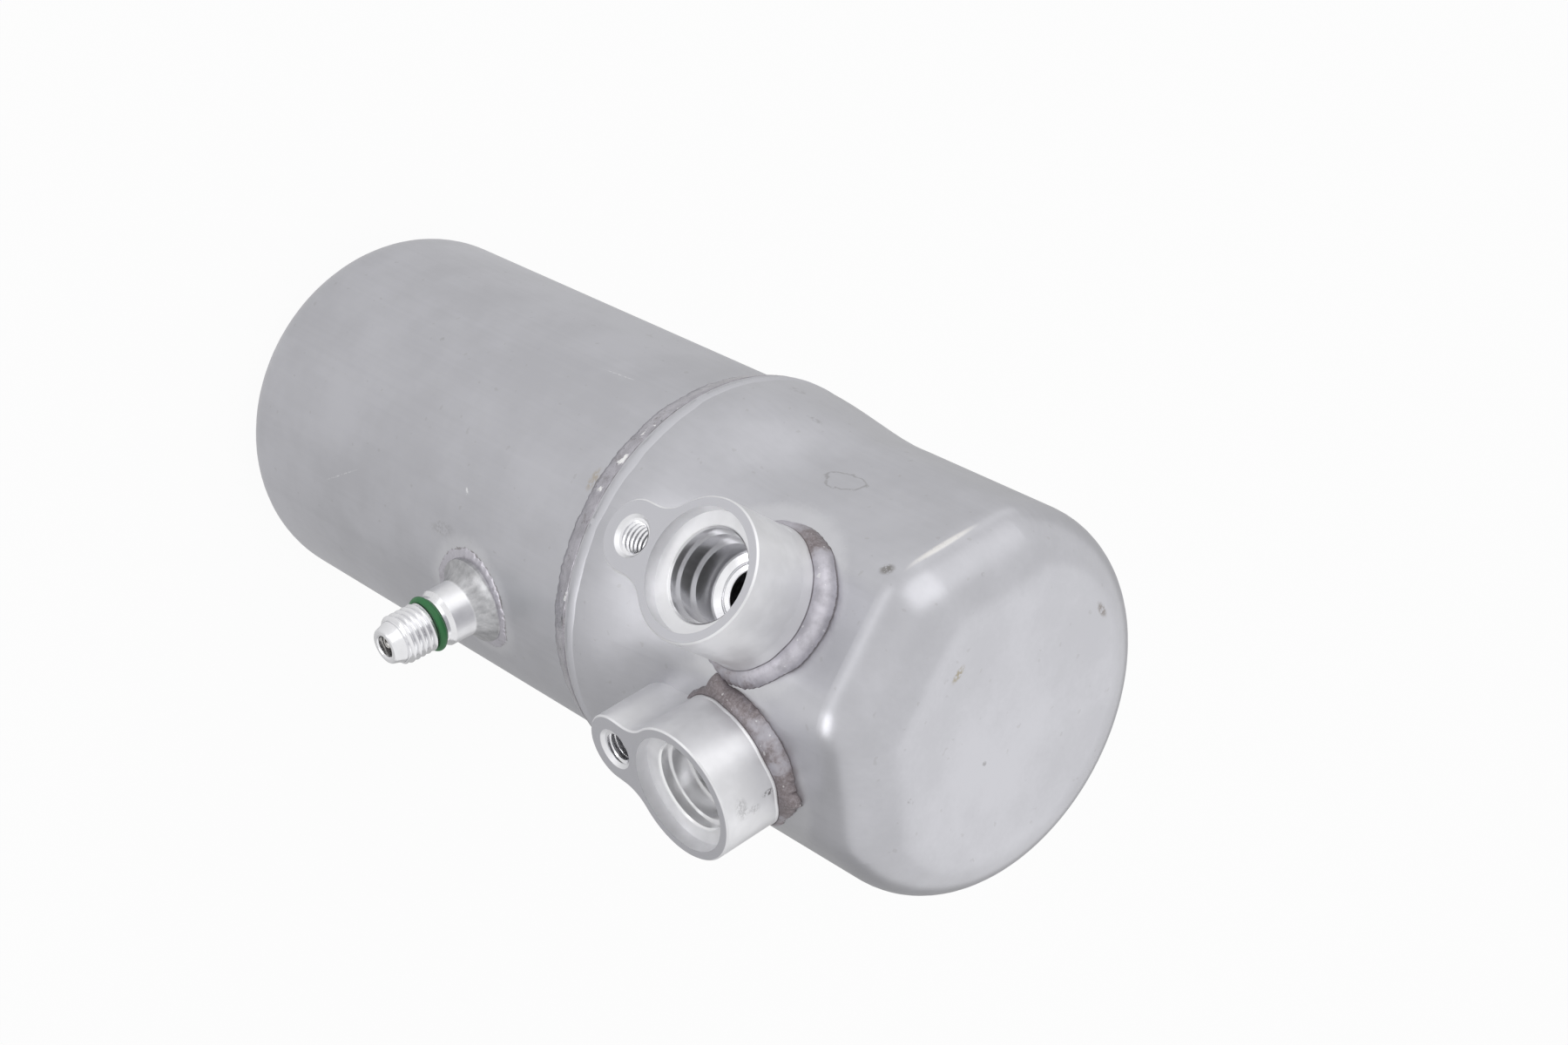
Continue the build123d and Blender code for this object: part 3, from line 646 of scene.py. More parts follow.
def block_metal(side, matrix):
    """Metal of a port block: bright walls, painted shade in the outlet's bore and painted light in the
    inlet's bore, and a duller milled face.
    """
    looks = bpy.context.scene.drier_metal
    metal, local = machined_metal(side + "_block_metal", matrix, metallic=0.75)
    # Painted shade inside the outlet's bore and painted light inside the inlet's bore, both glossier than
    # the walls
    bore = metal.fade(metal.axis_distance(local), 10.4 * MM, 10.3 * MM)
    metal.paint(bore, (0.62, 0.62, 0.64) if side == "outlet" else (0.90, 0.90, 0.91))
    metal.rough = metal.scaled(bore, -0.2, metal.rough)
    inverse = matrix.inverted()
    face = max((inverse @ vertex.co).z for vertex in nodes[side + "_block"].data.vertices)
    milled = metal.fade(metal.coordinate(local, 2), face - 0.08 * MM, face - 0.03 * MM)
    metal.paint(milled, *shades(looks.drawn_colour, 1.08))
    if side == "inlet":
        # Spot in mm, size and strength of the scuffs on the wall
        marks = (
            ((34.7, -30.7, 201.5), (0.9, 0.9, 2.0), 0.9),
            ((39.8, -35.8, 201.6), (3.4, 2.2, 2.0), 0.32),
            ((38.9, -32.5, 201.6), (1.6, 1.0, 2.0), 0.3),
        )
        for seed, (spot, size, strength) in enumerate(marks, 80):
            mark_on(metal, seed, spot, size, (0.14, 0.13, 0.13), strength)
    return metal.done()


class DRIER_OT_port_blocks(Operator):
    """Finish the two machined port blocks and cut the threads of their bolt holes"""

    bl_idname = "drier.port_blocks"
    bl_label = "Port blocks"

    def execute(self, context):
        for side in ("outlet", "inlet"):
            material = block_metal(side, radial_frame(side + "_bore"))
            dress(side + "_block", material)
            lobe_foot(side, material)
            mouth_ring(side)
            hole_thread(side + "_bolt_hole")
        return {"FINISHED"}


# Weld beads


def flash_metal(name, matrix):
    """Rippled weld metal round the fitting, lightly clouded with soot."""
    looks = bpy.context.scene.drier_metal
    metal = Finish(name, looks.bead_colour, Metallic=1.0)
    local = metal.local_place(matrix)
    clouds = metal.grain(240, 5, 0.65, local)
    fine = metal.grain(1500, 4, 0.7, local)
    metal.tone(metal.fade(fine, 0.3, 0.7), *shades(looks.bead_colour, 1.0, 1.12))
    soot = metal.times(metal.fade(clouds, 0.55, 0.75), 0.35)
    metal.paint(soot, looks.soot_colour)
    metal.rough = metal.scaled(soot, 0.3, 0.38)
    metal.emboss(clouds, 0.35 * MM, 0.6)
    metal.emboss(fine, 0.06 * MM, 0.7)
    return metal.done()


def port_bead_metal(name, matrix, seed):
    """Weld metal of a port bead: clean or sooted, with painted shade in its crease and a burnt edge.

    The share across the bead is below 0 on the boss's wall, 0 at the crease and 1 at the toe.
    """
    looks = bpy.context.scene.drier_metal
    metal = Finish(name, looks.bead_colour, Metallic=0.85)
    marks = metal.put("Attribute", output=1, attribute_name="bead")
    share, grime = metal.coordinate(marks, 0), metal.coordinate(marks, 1)
    local = metal.local_place(matrix)
    clouds = metal.grain(260 + seed, 5, 0.65, local)
    fine = metal.grain(1700, 4, 0.75, local)
    metal.tone(metal.fade(clouds, 0.35, 0.65), *shades(looks.bead_colour, 0.86, 1.12))
    sooty = metal.blend(metal.fade(fine, 0.35, 0.7), (0.22, 0.19, 0.195), (0.33, 0.30, 0.315))
    ragged = metal.scaled(metal.calc("SUBTRACT", clouds, 0.5), 1.6, grime)
    metal.paint(metal.fade(ragged, 0.25, 0.75), sooty)
    specks = metal.fade(metal.grain(900, 1, 0.5, local), 0.71, 0.74)
    metal.paint(metal.times(specks, 0.5), (0.8, 0.8, 0.8))
    # Painted shade along the crease between the boss's wall and the bead; the burnt edge at the toe is soot
    crease = metal.times(metal.fade(share, 0.02, 0.0), metal.fade(share, -0.05, -0.01))
    burnt = metal.fade(metal.scaled(fine, 0.1, share), 0.98, 1.03)
    dark = metal.calc("MAXIMUM", metal.times(crease, 0.7), metal.times(burnt, 0.8))
    metal.paint(dark, (0.13, 0.115, 0.12))
    wall = metal.fade(share, -0.04, -0.10)
    metal.paint(wall, *shades(looks.machined_colour, 0.93))
    metal.rough = metal.scaled(wall, looks.machined_roughness - 0.52, 0.52)
    metal.emboss(metal.times(fine, metal.calc("SUBTRACT", 1.0, wall)), 0.08 * MM, 0.5)
    return metal.done()


class DRIER_OT_port_beads(Operator):
    """Lay an uneven weld bead round each port's boss, down to the shell's skin"""

    bl_idname = "drier.port_beads"
    bl_label = "Port beads"

    def execute(self, context):
        looks = context.scene.drier_beads
        skins = skin_of("upper_shell")
        # Distance out from the boss's wall and height over the crease in mm, from the wall down
        neck = ((-0.4, 3.1), (0.0, 3.0), (0.05, 2.1), (0.14, 1.2), (0.28, 0.4), (0.30, 0.1))
        hidden = ((1.2, -0.9), (-0.6, -0.6))
        belly_steps, neck_end, clearance = 10, 0.34, 0.02
        count = len(neck) + belly_steps + 4
        for side, seed in (("outlet", 3.0), ("inlet", 9.0)):
            matrix = radial_frame(side + "_bore")
            fitted = side == "outlet"

            def fullness(angle):
                """Toe width and crease height in mm, and grime, at an angle."""
                if fitted:
                    wide = (0.5 + 0.5 * math.cos(angle - math.radians(100))) ** 2.2
                    grime = 0.75 * near_angle(angle, 160, 38) + 0.25 * near_angle(angle, -10, 60)
                    low_side = near_angle(angle, 8, 45)
                    return 0.9 + 3.1 * wide + 1.5 * low_side, 1.5 + 2.2 * wide**0.5, grime + 0.3 * low_side
                wide = near_angle(angle, 130, 75) ** 0.4
                spurs = 1.3 * near_angle(angle, 83, 9) + 2.4 * near_angle(angle, 190, 13)
                ends = near_angle(angle, 185, 45) + near_angle(angle, 85, 28)
                return 1.2 + 2.7 * wide + spurs, 1.6 + 1.6 * wide, 0.52 + 0.5 * ends

            def place_point(loop, angle):
                width, height, _ = fullness(angle)
                wobble = jitter(angle, looks.boss_radius, 5.0 * MM, seed)
                fray = jitter(angle, looks.boss_radius, 0.8 * MM, seed + 5)
                frayed = 0.5 * (near_angle(angle, -20, 60) if fitted else near_angle(angle, 84, 25))
                frayed += 0.10 if fitted else 0.2
                height += 0.15 * wobble
                if loop < len(neck):
                    across, up = neck[loop]
                    up = height + (up if fitted else 0.25 * up)
                    across = across if fitted else min(0.12, across)
                elif loop <= len(neck) + belly_steps:
                    turn = math.pi / 2 * (loop - len(neck)) / belly_steps
                    power = 0.82 if fitted else 1.12
                    share = math.sin(turn) ** power
                    across = neck_end + (width - neck_end + 0.2 * wobble + frayed * fray * share) * share
                    up = height * max(0.0, math.cos(turn)) ** power
                    up += (0.10 * wobble + 0.05 * fray) * math.sin(2 * turn)
                else:
                    across, up = ((width + 0.3, -0.6), *hidden)[loop - count]
                radius = looks.boss_radius + across * MM
                x, y = around(radius, angle)
                base = skin_height(skins, matrix, x, y)
                return Vector((x, y, base + (up + clearance) * MM))

            def marks(loop, angle):
                if loop < len(neck):
                    return 0.1 * (loop - len(neck) + 1), fullness(angle)[2]
                return min(1.1, (loop - len(neck)) / belly_steps), fullness(angle)[2]

            bm = ring_of_loops(count, 420, place_point, marks)
            material = port_bead_metal(side + "_bead_metal", matrix, seed)
            piece = finish_piece(bm, side + "_bead", matrix, material, sharp=60)
            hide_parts(side + "_weld")
        return {"FINISHED"}


def girth_metal(name):
    """Weld metal of the girth: grey with painted glints, with a burnt toe, painted shade in the groove and a
    pale lip on the shell.

    The share across the bead is 0 at its toe on the can, 1 in the groove and more on the lip.
    """
    looks = bpy.context.scene.drier_metal
    base, light = shades(looks.bead_colour, 0.72, 0.9)
    metal = Finish(name, base, Metallic=0.9)
    share = metal.coordinate(metal.put("Attribute", output=1, attribute_name="bead"), 0)
    edge = metal.scaled(metal.grain(1500, 4, 0.7), 0.05, share)
    clouds = metal.grain(240, 4, 0.6)
    metal.tone(metal.fade(clouds, 0.38, 0.62), base, light)
    stains = metal.fade(metal.grain(150, 5, 0.7), 0.58, 0.66)
    metal.paint(metal.times(stains, 0.35), looks.soot_colour)
    pits = metal.fade(metal.grain(1000, 1, 0.5), 0.71, 0.74)
    metal.paint(metal.times(pits, 0.8), (0.1, 0.1, 0.1))
    toe = metal.times(metal.fade(edge, 0.10, 0.04), 0.7)
    # Painted shade in the groove between the bead and the shell's lip; the dark toe is burnt metal
    groove = metal.times(metal.fade(edge, 0.96, 1.0), metal.fade(edge, 1.07, 1.03))
    dark = metal.calc("MAXIMUM", toe, metal.times(groove, 0.75))
    metal.paint(dark, (0.12, 0.115, 0.115))
    # Painted highlights: white glints on the bead's crown
    crown = metal.times(metal.fade(edge, 0.35, 0.6), metal.fade(edge, 0.98, 0.9))
    painted_glints = metal.fade(metal.grain(190, 4, 0.65), 0.60, 0.66)
    metal.paint(metal.times(painted_glints, crown), (0.93, 0.93, 0.93))
    lip = metal.fade(edge, 1.06, 1.10)
    metal.paint(lip, *shades(looks.drawn_colour, 1.12))
    metal.rough = metal.scaled(lip, 0.18, 0.26)
    metal.emboss(metal.times(clouds, metal.calc("SUBTRACT", 1.0, lip)), 0.5 * MM, 0.5)
    return metal.done()


def collar_radius(skin, angle, height):
    """Radius of the shell's skin at an angle and a height near its rim."""
    outwards = Vector((*around(1, angle), 0))
    start = outwards * 1.3 * can_radius + UP * height
    return skin.ray_cast(start, -outwards)[0].xy.length


class DRIER_OT_girth_bead(Operator):
    """Lay the bead round the joint of can and shell, with the shell's melted lip"""

    bl_idname = "drier.girth_bead"
    bl_label = "Girth bead"

    def execute(self, context):
        looks = context.scene.drier_beads
        toe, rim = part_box("girth_weld")[0].z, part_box("upper_shell")[0].z
        skin = skin_of("upper_shell")[0]
        collar = collar_radius(skin, math.pi, rim + 0.5 * MM) - can_radius
        width = rim - toe
        # Distance out from the can's wall, and height as a share of the bead's width: can, bead, lip
        proud = collar + looks.lip_rise
        outline = (
            (-0.3 * MM, -0.06), (0.0, 0.0), (0.20 * collar, 0.07), (0.38 * collar, 0.22),
            (0.55 * collar, 0.40), (0.72 * collar, 0.58), (0.88 * collar, 0.76), (0.98 * collar, 0.90),
            (0.96 * collar, 0.97), (0.86 * collar, 1.01), (0.93 * collar, 1.05), (proud, 1.12),
            (proud, 1.32), (proud - 0.5 * looks.lip_rise, 1.48), (collar - 0.05 * MM, 1.56),
            (collar - 0.4 * MM, 1.30), (-0.4 * MM, 0.60),
        )

        def place_point(loop, angle):
            out, along = outline[loop]
            wobble = jitter(angle, can_radius, 7 * MM, 2.0)
            facet = jitter(angle, can_radius, 2.4 * MM, 5.0)
            fray = jitter(angle, can_radius, 1.1 * MM, 7.0)
            shown = 0 < loop < len(outline) - 2
            share = min(1.0, max(0.0, along))
            belly = math.sin(math.pi * share) if shown else 0.0
            radius = can_radius + out + (0.12 * wobble + 0.16 * facet * share) * belly * MM
            height = toe + along * width
            if shown and along < 1.1:
                height += (0.22 * fray + 0.35 * wobble) * (1 - share) * MM
                height += (0.12 * facet + 0.18 * wobble) * share * MM
            elif shown:
                height += 0.2 * jitter(angle, can_radius, 5 * MM, 11.0) * MM
                radius += collar_radius(skin, angle, height) - can_radius - collar
            return Vector((*around(radius, angle), height))

        def marks(loop, angle):
            return outline[loop][1], 0.0

        bm = ring_of_loops(len(outline), 900, place_point, marks)
        material = girth_metal("girth_bead_metal")
        piece = finish_piece(bm, "girth_bead", Matrix.Identity(4), material, sharp=60)
        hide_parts("girth_weld")
        return {"FINISHED"}


# Service fitting


def fitting_metal(matrix):
    """Turned metal of the fitting, brushed and darker on its skirt and duller on its neck."""
    metal, local = machined_metal("fitting_metal", matrix, roughness=0.22)
    height = metal.coordinate(local, 2)
    brushed = metal.grain(1.0, 4, 0.7, metal.stretched(local, 700, 700, 60))
    skirt = metal.fade(height, can_radius + 4.4 * MM, can_radius + 3.8 * MM)
    metal.paint(metal.times(metal.scaled(brushed, 0.9, 0.22), skirt), (0.26, 0.26, 0.27))
    neck = metal.fade(height, can_radius + 9.6 * MM, can_radius + 9.3 * MM)
    metal.rough = metal.scaled(neck, 0.16, metal.rough)
    metal.emboss(brushed, 0.05 * MM, 0.5)
    return metal.done()


def seal_rubber():
    """Green rubber, slightly clouded."""
    seal = bpy.context.scene.drier_metal.seal_colour
    rubber = Finish("seal_rubber", seal, 0.42, Specular_IOR_Level=0.5)
    rubber.tone(rubber.grain(300, 3, 0.6), *shades(seal, 0.8, 1.2))
    rubber.emboss(rubber.grain(4000, 2, 0.5), 0.01 * MM, 0.4)
    return rubber.done()


class DRIER_OT_service_fitting(Operator):
    """Turn the service fitting with its real thread, its flash of weld and its seal ring"""

    bl_idname = "drier.service_fitting"
    bl_label = "Service fitting"

    def execute(self, context):
        looks = context.scene.drier_fitting
        axis = radial_frame("switch_thread")
        on_skin = axis @ Matrix.Translation((0, 0, can_radius))
        thread = mounts["switch_thread"]["dims"]
        crest = thread["r_mm"] * MM
        middle = mount_distance("switch_thread") - can_radius
        half_length = thread["length_mm"] * MM / 2
        thread_low, thread_high = middle - half_length, middle + half_length
        groove_low, groove_high, groove = 11.5 * MM, 13.6 * MM, 4.9 * MM
        material = fitting_metal(axis)

        bm = lathe(self.turned_outline(groove, groove_low, groove_high, thread_high, crest), 128)
        piece = finish_piece(bm, "fitting_body", on_skin, material, sharp=25)
        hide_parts("service_fitting")

        root, pitch = looks.thread_root - 0.05 * MM, looks.thread_pitch
        soft_crest = crest - 0.06 * MM
        ridge = (
            (root, -0.42 * pitch), (soft_crest, -0.1 * pitch), (crest, -0.04 * pitch),
            (crest, 0.04 * pitch), (soft_crest, 0.1 * pitch), (root, 0.42 * pitch),
        )
        bm = coil(ridge, thread_low - pitch, pitch, 2 * half_length / pitch + 2, 72)
        clip(bm, groove_high + 0.02 * MM, thread_high + 0.6 * MM)
        for point in bm.verts:
            radius = math.hypot(point.co.x, point.co.y)
            run_out = crest - max(0.0, point.co.z - thread_high) * 1.1
            lead_in = crest - max(0.0, thread_low - point.co.z) * 0.9
            allowed = max(root, min(run_out, lead_in))
            if radius > allowed:
                point.co.x *= allowed / radius
                point.co.y *= allowed / radius
        finish_piece(bm, "fitting_thread", on_skin, material, sharp=30)

        section = 0.9 * MM
        centre = groove + section + 0.05 * MM
        bm = lathe(circle(centre, section, 24), 96)
        seat = on_skin @ Matrix.Translation((0, 0, (groove_low + groove_high) / 2))
        ring = finish_piece(bm, "seal_ring", seat, seal_rubber())
        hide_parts("fitting_seal")
        self.flash_of_weld(axis)
        return {"FINISHED"}

    def turned_outline(self, groove, groove_low, groove_high, thread_high, crest):
        """Radius and height above the can's skin, from the skirt's foot out to the tip and back inside."""
        root = bpy.context.scene.drier_fitting.thread_root
        skirt, neck, shank, nose, core_bore, passage, stem = 10.4, 6.8, 6.0, 4.25, 2.6, 1.9, 5.6
        buried, stem_end, core_seat, tip = -1.8, -4.1, 9.6, 24.7
        outside = (
            (skirt, buried), (skirt, 0.15), (skirt - 0.15, 0.35), (9.3, 0.85), (8.5, 1.5), (7.9, 2.2),
            (7.4, 3.0), (7.05, 3.7), (neck + 0.04, 4.15), (neck, 4.4), (neck, 9.45), (neck - 0.08, 9.6),
            (shank + 0.1, 10.3), (shank, 10.5), (shank, 11.35), (shank - 0.15, 11.5),
        )
        nose_base = thread_high + crest - 4.8 * MM
        threaded = (
            (groove, groove_low), (groove, groove_high), (root, groove_high),
            (root, thread_high + 0.2 * MM), (4.9 * MM, nose_base), (4.72 * MM, nose_base + 0.3 * MM),
        )
        inside = (
            (nose, tip - 0.35), (nose - 0.25, tip - 0.08), (nose - 0.5, tip), (core_bore + 0.45, tip),
            (core_bore + 0.32, tip - 0.06), (core_bore, tip - 0.35), (core_bore, core_seat + 0.7),
            (passage, core_seat), (passage, stem_end), (stem, stem_end), (stem, buried),
        )
        return [*in_metres(outside), *threaded, *in_metres(inside)]

    def flash_of_weld(self, matrix):
        """Thin uneven collar of weld metal on the can, round the skirt."""
        skins = skin_of("lower_can")
        skirt, reach, sunk = 10.6, 12.5, -0.3
        # Radius and height above the can's skin, in mm
        outline = (
            (9.6, sunk), (9.6, 0.28), (skirt, 0.34), (11.4, 0.28),
            (12.0, 0.16), (12.3, 0.03), (reach, sunk),
        )

        def place_point(loop, angle):
            radius, up = outline[loop]
            fray = jitter(angle, 12 * MM, 1.0 * MM, 4.0)
            wobble = jitter(angle, 12 * MM, 5.0 * MM, 8.0)
            share = max(0.0, (radius - skirt) / (reach - skirt))
            radius = (radius + (0.35 * fray + 0.5 * wobble) * share) * MM
            x, y = around(radius, angle)
            skin = skin_height(skins, matrix, x, y)
            return Vector((x, y, skin + (up + 0.05 * fray * share) * MM))

        bm = ring_of_loops(len(outline), 300, place_point)
        material = flash_metal("flash_metal", matrix)
        piece = finish_piece(bm, "fitting_flash", matrix, material, sharp=50)
        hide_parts("fitting_weld")


# Valve core and the parts inside the can


def plain_finish(name, colour, roughness, metallic, cloud_scale):
    """A simple finish: one colour with soft variation and a fine surface."""
    finish = Finish(name, colour, Metallic=metallic)
    clouds = finish.grain(cloud_scale, 4, 0.6)
    finish.tone(clouds, *shades(colour, 0.88, 1.12))
    finish.rough = finish.scaled(clouds, 0.14, roughness - 0.07)
    finish.emboss(finish.grain(cloud_scale * 14, 3, 0.6), 0.02 * MM, 0.5)
    return finish.done()


def wound_spring(name, material, turns=6):
    """A round wire spring on the fitting's axis, squashed by its pin's stroke."""
    matrix = radial_frame("switch_thread")
    inverse = matrix.inverted()
    points = [inverse @ vertex.co for vertex in nodes[name].data.vertices]
    low, high = min(point.z for point in points), max(point.z for point in points)
    reach = [point.xy.length for point in points]
    wire = (max(reach) - min(reach)) / 2
    centre = min(reach) + wire
    bm = coil(circle(centre, wire, 12), low + wire, (high - low - 2 * wire) / turns, turns, 36)
    piece = finish_piece(bm, "wound_" + name, matrix, material, sharp=60)
    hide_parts(name)
    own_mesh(piece)


class DRIER_OT_valve_core(Operator):
    """Finish the valve core in the fitting's mouth, and wind its spring"""

    bl_idname = "drier.valve_core"
    bl_label = "Valve core"

    def execute(self, context):
        # Node, then the values of plain_finish
        for node_name, *finish in (
            ("core_body", "core_metal", (0.50, 0.49, 0.46), 0.3, 1.0, 500),
            ("core_gasket", "core_gasket_plastic", (0.75, 0.73, 0.68), 0.5, 0.0, 500),
            ("valve_pin", "pin_steel", (0.58, 0.57, 0.55), 0.25, 1.0, 600),
            ("pin_seal", "pin_rubber", (0.02, 0.02, 0.022), 0.6, 0.0, 500),
        ):
            dress(node_name, plain_finish(*finish))
        wire = plain_finish("spring_steel", (0.55, 0.55, 0.56), 0.25, 1.0, 700)
        wound_spring("pin_spring", wire)
        return {"FINISHED"}


class DRIER_OT_inner_parts(Operator):
    """Finish the tube, baffle, cap, strainer and ties inside the can"""

    bl_idname = "drier.inner_parts"
    bl_label = "Inner parts"

    def execute(self, context):
        dress("pickup_tube", plain_finish("tube_metal", (0.66, 0.665, 0.68), 0.28, 1.0, 60))
        dress("baffle_plate", plain_finish("baffle_metal", (0.58, 0.585, 0.60), 0.4, 1.0, 50))
        plastic = plain_finish("white_plastic", (0.80, 0.79, 0.74), 0.45, 0.0, 80)
        for name in ("intake_cap", "strainer_cage", "lower_tie", "upper_tie"):
            dress(name, plastic)
        gauze = Finish("gauze_weave", (0.72, 0.72, 0.68), 0.6)
        sockets = {"Vector": gauze.stretched(gauze.place, 5200, 5200, 5200), "Scale": 0.3}
        weave = gauze.put("TexWave", sockets, output=1, bands_direction="DIAGONAL")
        gauze.tone(weave, (0.30, 0.30, 0.28), (0.82, 0.82, 0.78))
        gauze.emboss(weave, 0.1 * MM)
        dress("strainer_gauze", gauze.done())
        return {"FINISHED"}


def bag_felt():
    """Off-white felt with the beads showing through."""
    colour = (0.78, 0.76, 0.70)
    felt = Finish("bag_felt", colour, 0.9, Sheen_Weight=0.25)
    fibres = felt.grain(1.0, 5, 0.75, felt.stretched(felt.place, 900, 1600, 420))
    felt.tone(fibres, *shades(colour, 0.78, 1.1))
    felt.emboss(felt.put("TexVoronoi", {"Vector": felt.place, "Scale": 480.0}), 0.5 * MM, 0.35)
    felt.emboss(fibres, 0.15 * MM, 0.6)
    return felt.done()


class DRIER_OT_desiccant_bag(Operator):
    """Sew the felt bag of drying beads, pinched by its two ties"""

    bl_idname = "drier.desiccant_bag"
    bl_label = "Desiccant bag"

    def execute(self, context):
        low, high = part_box("desiccant_bag")
        centre, half = (low + high) / 2, (high - low) / 2
        ties = [(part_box(name)[0].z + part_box(name)[1].z) / 2 for name in ("lower_tie", "upper_tie")]
        taper_start, pinch_reach, filling = 0.72, 4.5 * MM, 0.985
        bm = bmesh.new()
        bmesh.ops.create_cube(bm, size=2.0)
        bmesh.ops.subdivide_edges(bm, edges=bm.edges[:], cuts=31, use_grid_fill=True)
        for point in bm.verts:
            x, y, z = point.co
            end = abs(z)
            tapered = max(0.0, end - taper_start) / (1 - taper_start)
            thickness = math.sqrt(max(0.0, 1 - tapered**2 * 0.97))
            round_off = 1 - 0.18 * abs(x) ** 3 * abs(y) ** 3
            height = centre.z + z * half.z * (1 - 0.03 * (x * x + y * y) / 2)
            pinch = sum(math.exp(-(((height - tie) / pinch_reach) ** 2)) for tie in ties)
            lumps = noise.noise(Vector((x * 9, y * 7, z * 26))) * 0.02
            scale = round_off * (filling - 0.035 * pinch + lumps * (1 - 0.5 * pinch))
            across = 1 - 0.06 * max(0.0, end - 0.8) / 0.2
            point.co = (
                centre.x + x * half.x * scale * thickness,
                centre.y + y * half.y * scale * across,
                height,
            )
        bag = finish_piece(bm, "felt_bag", Matrix.Identity(4), bag_felt(), sharp=75)
        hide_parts("desiccant_bag")
        return {"FINISHED"}


# Studio


def add_lamp(name, place, aim, size, power):
    """A soft white rectangular lamp that faces a point."""
    lamp = bpy.data.lights.new(name, "AREA")
    lamp.shape = "RECTANGLE"
    lamp.size, lamp.size_y = size
    lamp.energy = power
    holder = bpy.data.objects.new(name, lamp)
    holder.location = place
    holder.visible_camera = False
    holder.rotation_euler = (Vector(aim) - Vector(place)).to_track_quat("-Z", "Y").to_euler()
    bpy.context.collection.objects.link(holder)


def seen_as_background(stage):
    """1 for rays that the camera, a gloss or a clear surface sends, and 0 for the rest."""
    share = stage.calc("MAXIMUM", stage.ray_kind("Camera"), stage.ray_kind("Glossy"))
    return stage.calc("MAXIMUM", share, stage.ray_kind("Transmission"))


def floor_level(stage):
    """White to the eye; in the metal it darkens under the can and to its right, as a lit table does."""
    place = stage.object_place()
    level, fall_right, fall_back, soft_centre = 0.74, -0.20, -0.30, 0.08
    reach = stage.calc("ADD", stage.axis_distance(place), soft_centre)
    for index, fall in ((0, fall_right), (1, fall_back)):
        share = stage.calc("DIVIDE", stage.coordinate(place, index), reach)
        level = stage.scaled(share, fall, level)
    return stage.scaled(stage.calc("SUBTRACT", level, 1.0), stage.ray_kind("Glossy"), 1.0)


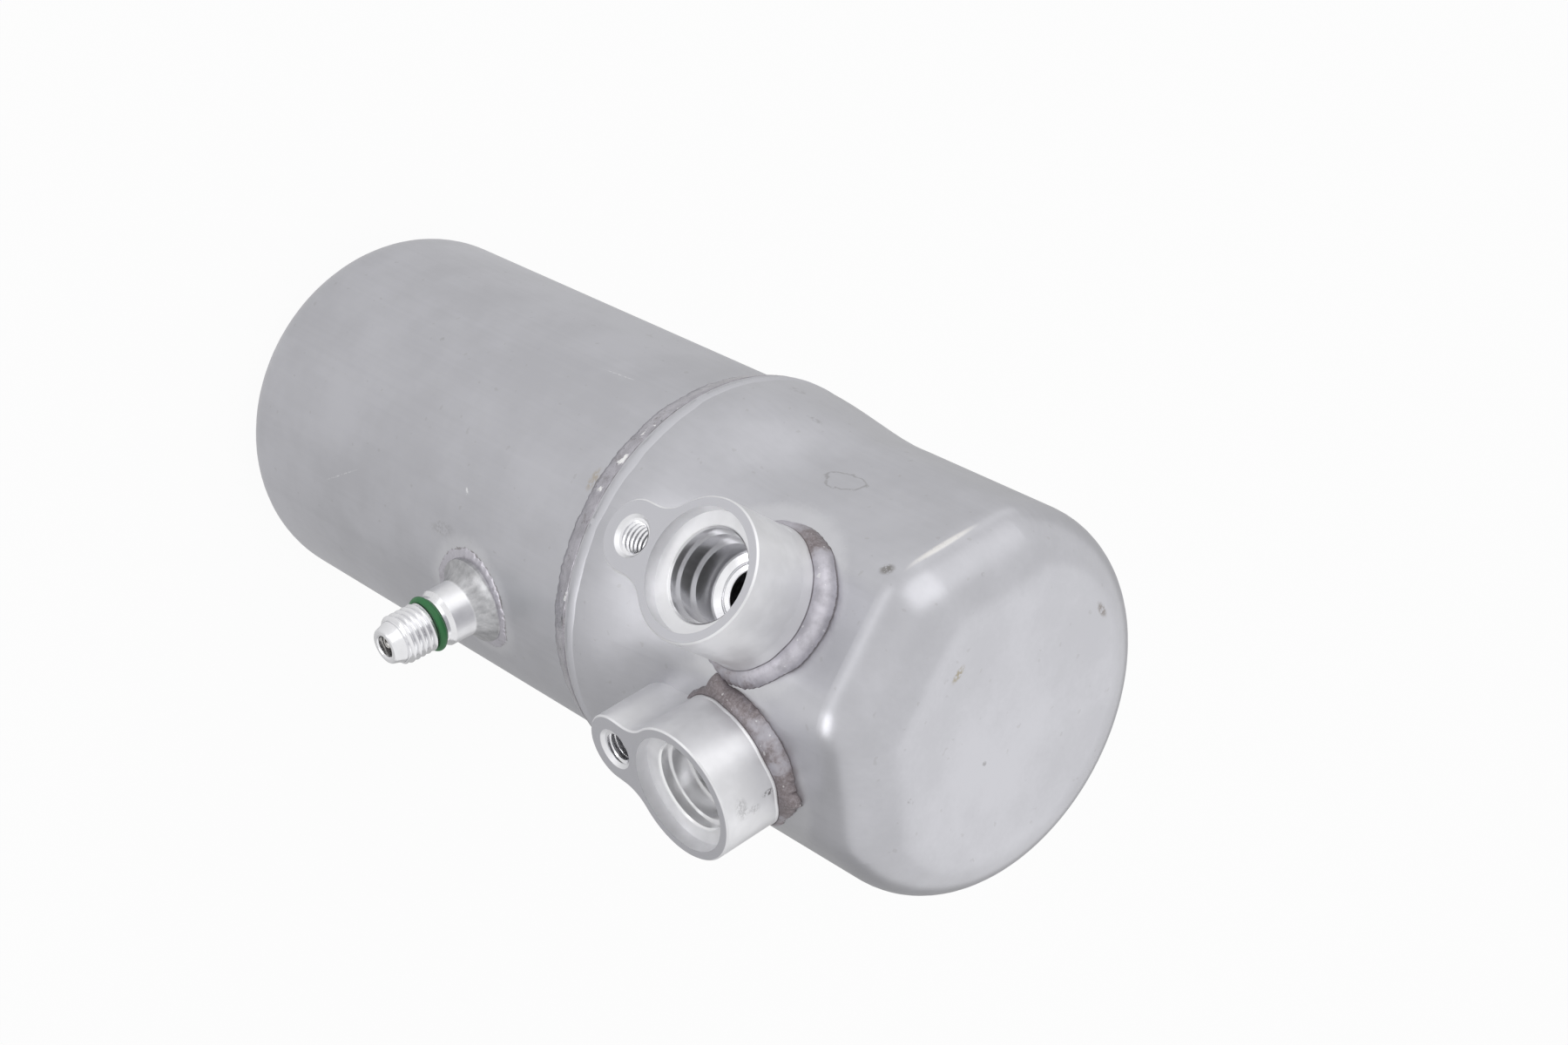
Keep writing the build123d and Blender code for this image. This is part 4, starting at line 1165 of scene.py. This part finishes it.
class DRIER_OT_studio(Operator):
    """Set up the white floor, the soft lamps and the camera"""

    bl_idname = "drier.studio"
    bl_label = "Studio"

    def execute(self, context):
        looks = context.scene.drier_stage
        bm = bmesh.new()
        bmesh.ops.create_grid(bm, x_segments=1, y_segments=1, size=3.0)
        mesh = bpy.data.meshes.new("floor")
        bm.to_mesh(mesh)
        bm.free()
        floor = bpy.data.objects.new("floor", mesh)
        context.collection.objects.link(floor)
        material = bpy.data.materials.new("white_floor")
        material.use_nodes = True
        stage = NodeBuilder(material.node_tree)
        stage.tree.nodes.clear()
        matte = stage.put("BsdfDiffuse", {"Color": (0.9, 0.9, 0.9, 1)})
        glow = stage.put("Emission", {"Color": (1, 1, 1, 1), "Strength": floor_level(stage)})
        share = stage.times(seen_as_background(stage), 0.94)
        mixed = stage.put("MixShader", {0: share, 1: matte, 2: glow})
        output = stage.tree.nodes.new("ShaderNodeOutputMaterial")
        stage.tree.links.new(mixed, output.inputs["Surface"])
        mesh.materials.append(material)

        world = bpy.data.worlds.new("studio")
        context.scene.world = world
        world.use_nodes = True
        stage = NodeBuilder(world.node_tree)
        background = stage.tree.nodes["Background"]
        sockets = {"Value": seen_as_background(stage), "To Min": looks.world_light, "To Max": 1.0}
        stage.tree.links.new(stage.put("MapRange", sockets), background.inputs["Strength"])
        background.inputs["Color"].default_value = (1, 1, 1, 1)

        # Place, aim, size and power
        middle, head = (0, 0, 0.12), (0, 0, 0.2)
        add_lamp("key_lamp", (-0.90, -0.80, 0.75), middle, (1.5, 1.2), 3.8)
        add_lamp("front_lamp", (0.05, -0.45, 0.02), head, (0.45, 0.15), 0.14)
        add_lamp("right_lamp", (0.30, -0.36, 0.02), head, (0.22, 0.18), 0.33)
        add_lamp("left_lamp", (-0.50, -0.09, 0.05), head, (0.40, 0.08), 0.04)
        add_lamp("back_lamp", (0.05, 0.70, 0.80), head, (0.9, 0.5), 0.35)

        lens = bpy.data.cameras.new("camera")
        lens.lens = looks.lens
        lens.sensor_width = 36
        camera = bpy.data.objects.new("camera", lens)
        camera.location = looks.camera_place
        tilt = Euler((looks.camera_tilt, 0, 0)).to_matrix()
        roll = Euler((0, 0, looks.camera_roll)).to_matrix()
        camera.rotation_euler = (tilt @ roll).to_euler()
        context.collection.objects.link(camera)
        context.scene.camera = camera
        context.scene.view_settings.view_transform = "Standard"
        return {"FINISHED"}


class DRIER_PT_looks(Panel):
    """Sidebar panel with the drier's pieces"""

    bl_idname = "DRIER_PT_looks"
    bl_label = "Receiver drier"
    bl_space_type = "VIEW_3D"
    bl_region_type = "UI"
    bl_category = "Drier"

    def draw(self, context):
        for operator in operators:
            self.layout.operator(operator.bl_idname)
        for name in settings_groups:
            settings = getattr(context.scene, name)
            box = self.layout.box()
            for setting in settings.__annotations__:
                box.prop(settings, setting)


operators = (
    DRIER_OT_skins,
    DRIER_OT_port_blocks,
    DRIER_OT_port_beads,
    DRIER_OT_girth_bead,
    DRIER_OT_service_fitting,
    DRIER_OT_valve_core,
    DRIER_OT_inner_parts,
    DRIER_OT_desiccant_bag,
    DRIER_OT_studio,
)
settings_groups = {
    "drier_metal": MetalLooks,
    "drier_blocks": BlockLooks,
    "drier_beads": BeadLooks,
    "drier_fitting": FittingLooks,
    "drier_stage": StageLooks,
}
classes = (*settings_groups.values(), *operators, DRIER_PT_looks)


def register():
    for cls in classes:
        bpy.utils.register_class(cls)
    for name, group in settings_groups.items():
        setattr(bpy.types.Scene, name, PointerProperty(type=group))


def unregister():
    for name in settings_groups:
        delattr(bpy.types.Scene, name)
    for cls in reversed(classes):
        bpy.utils.unregister_class(cls)


def main():
    register()
    bpy.ops.drier.skins()
    bpy.ops.drier.port_blocks()
    bpy.ops.drier.port_beads()
    bpy.ops.drier.girth_bead()
    bpy.ops.drier.service_fitting()
    bpy.ops.drier.valve_core()
    bpy.ops.drier.inner_parts()
    bpy.ops.drier.desiccant_bag()
    bpy.ops.drier.studio()


if __name__ == "__main__":
    main()
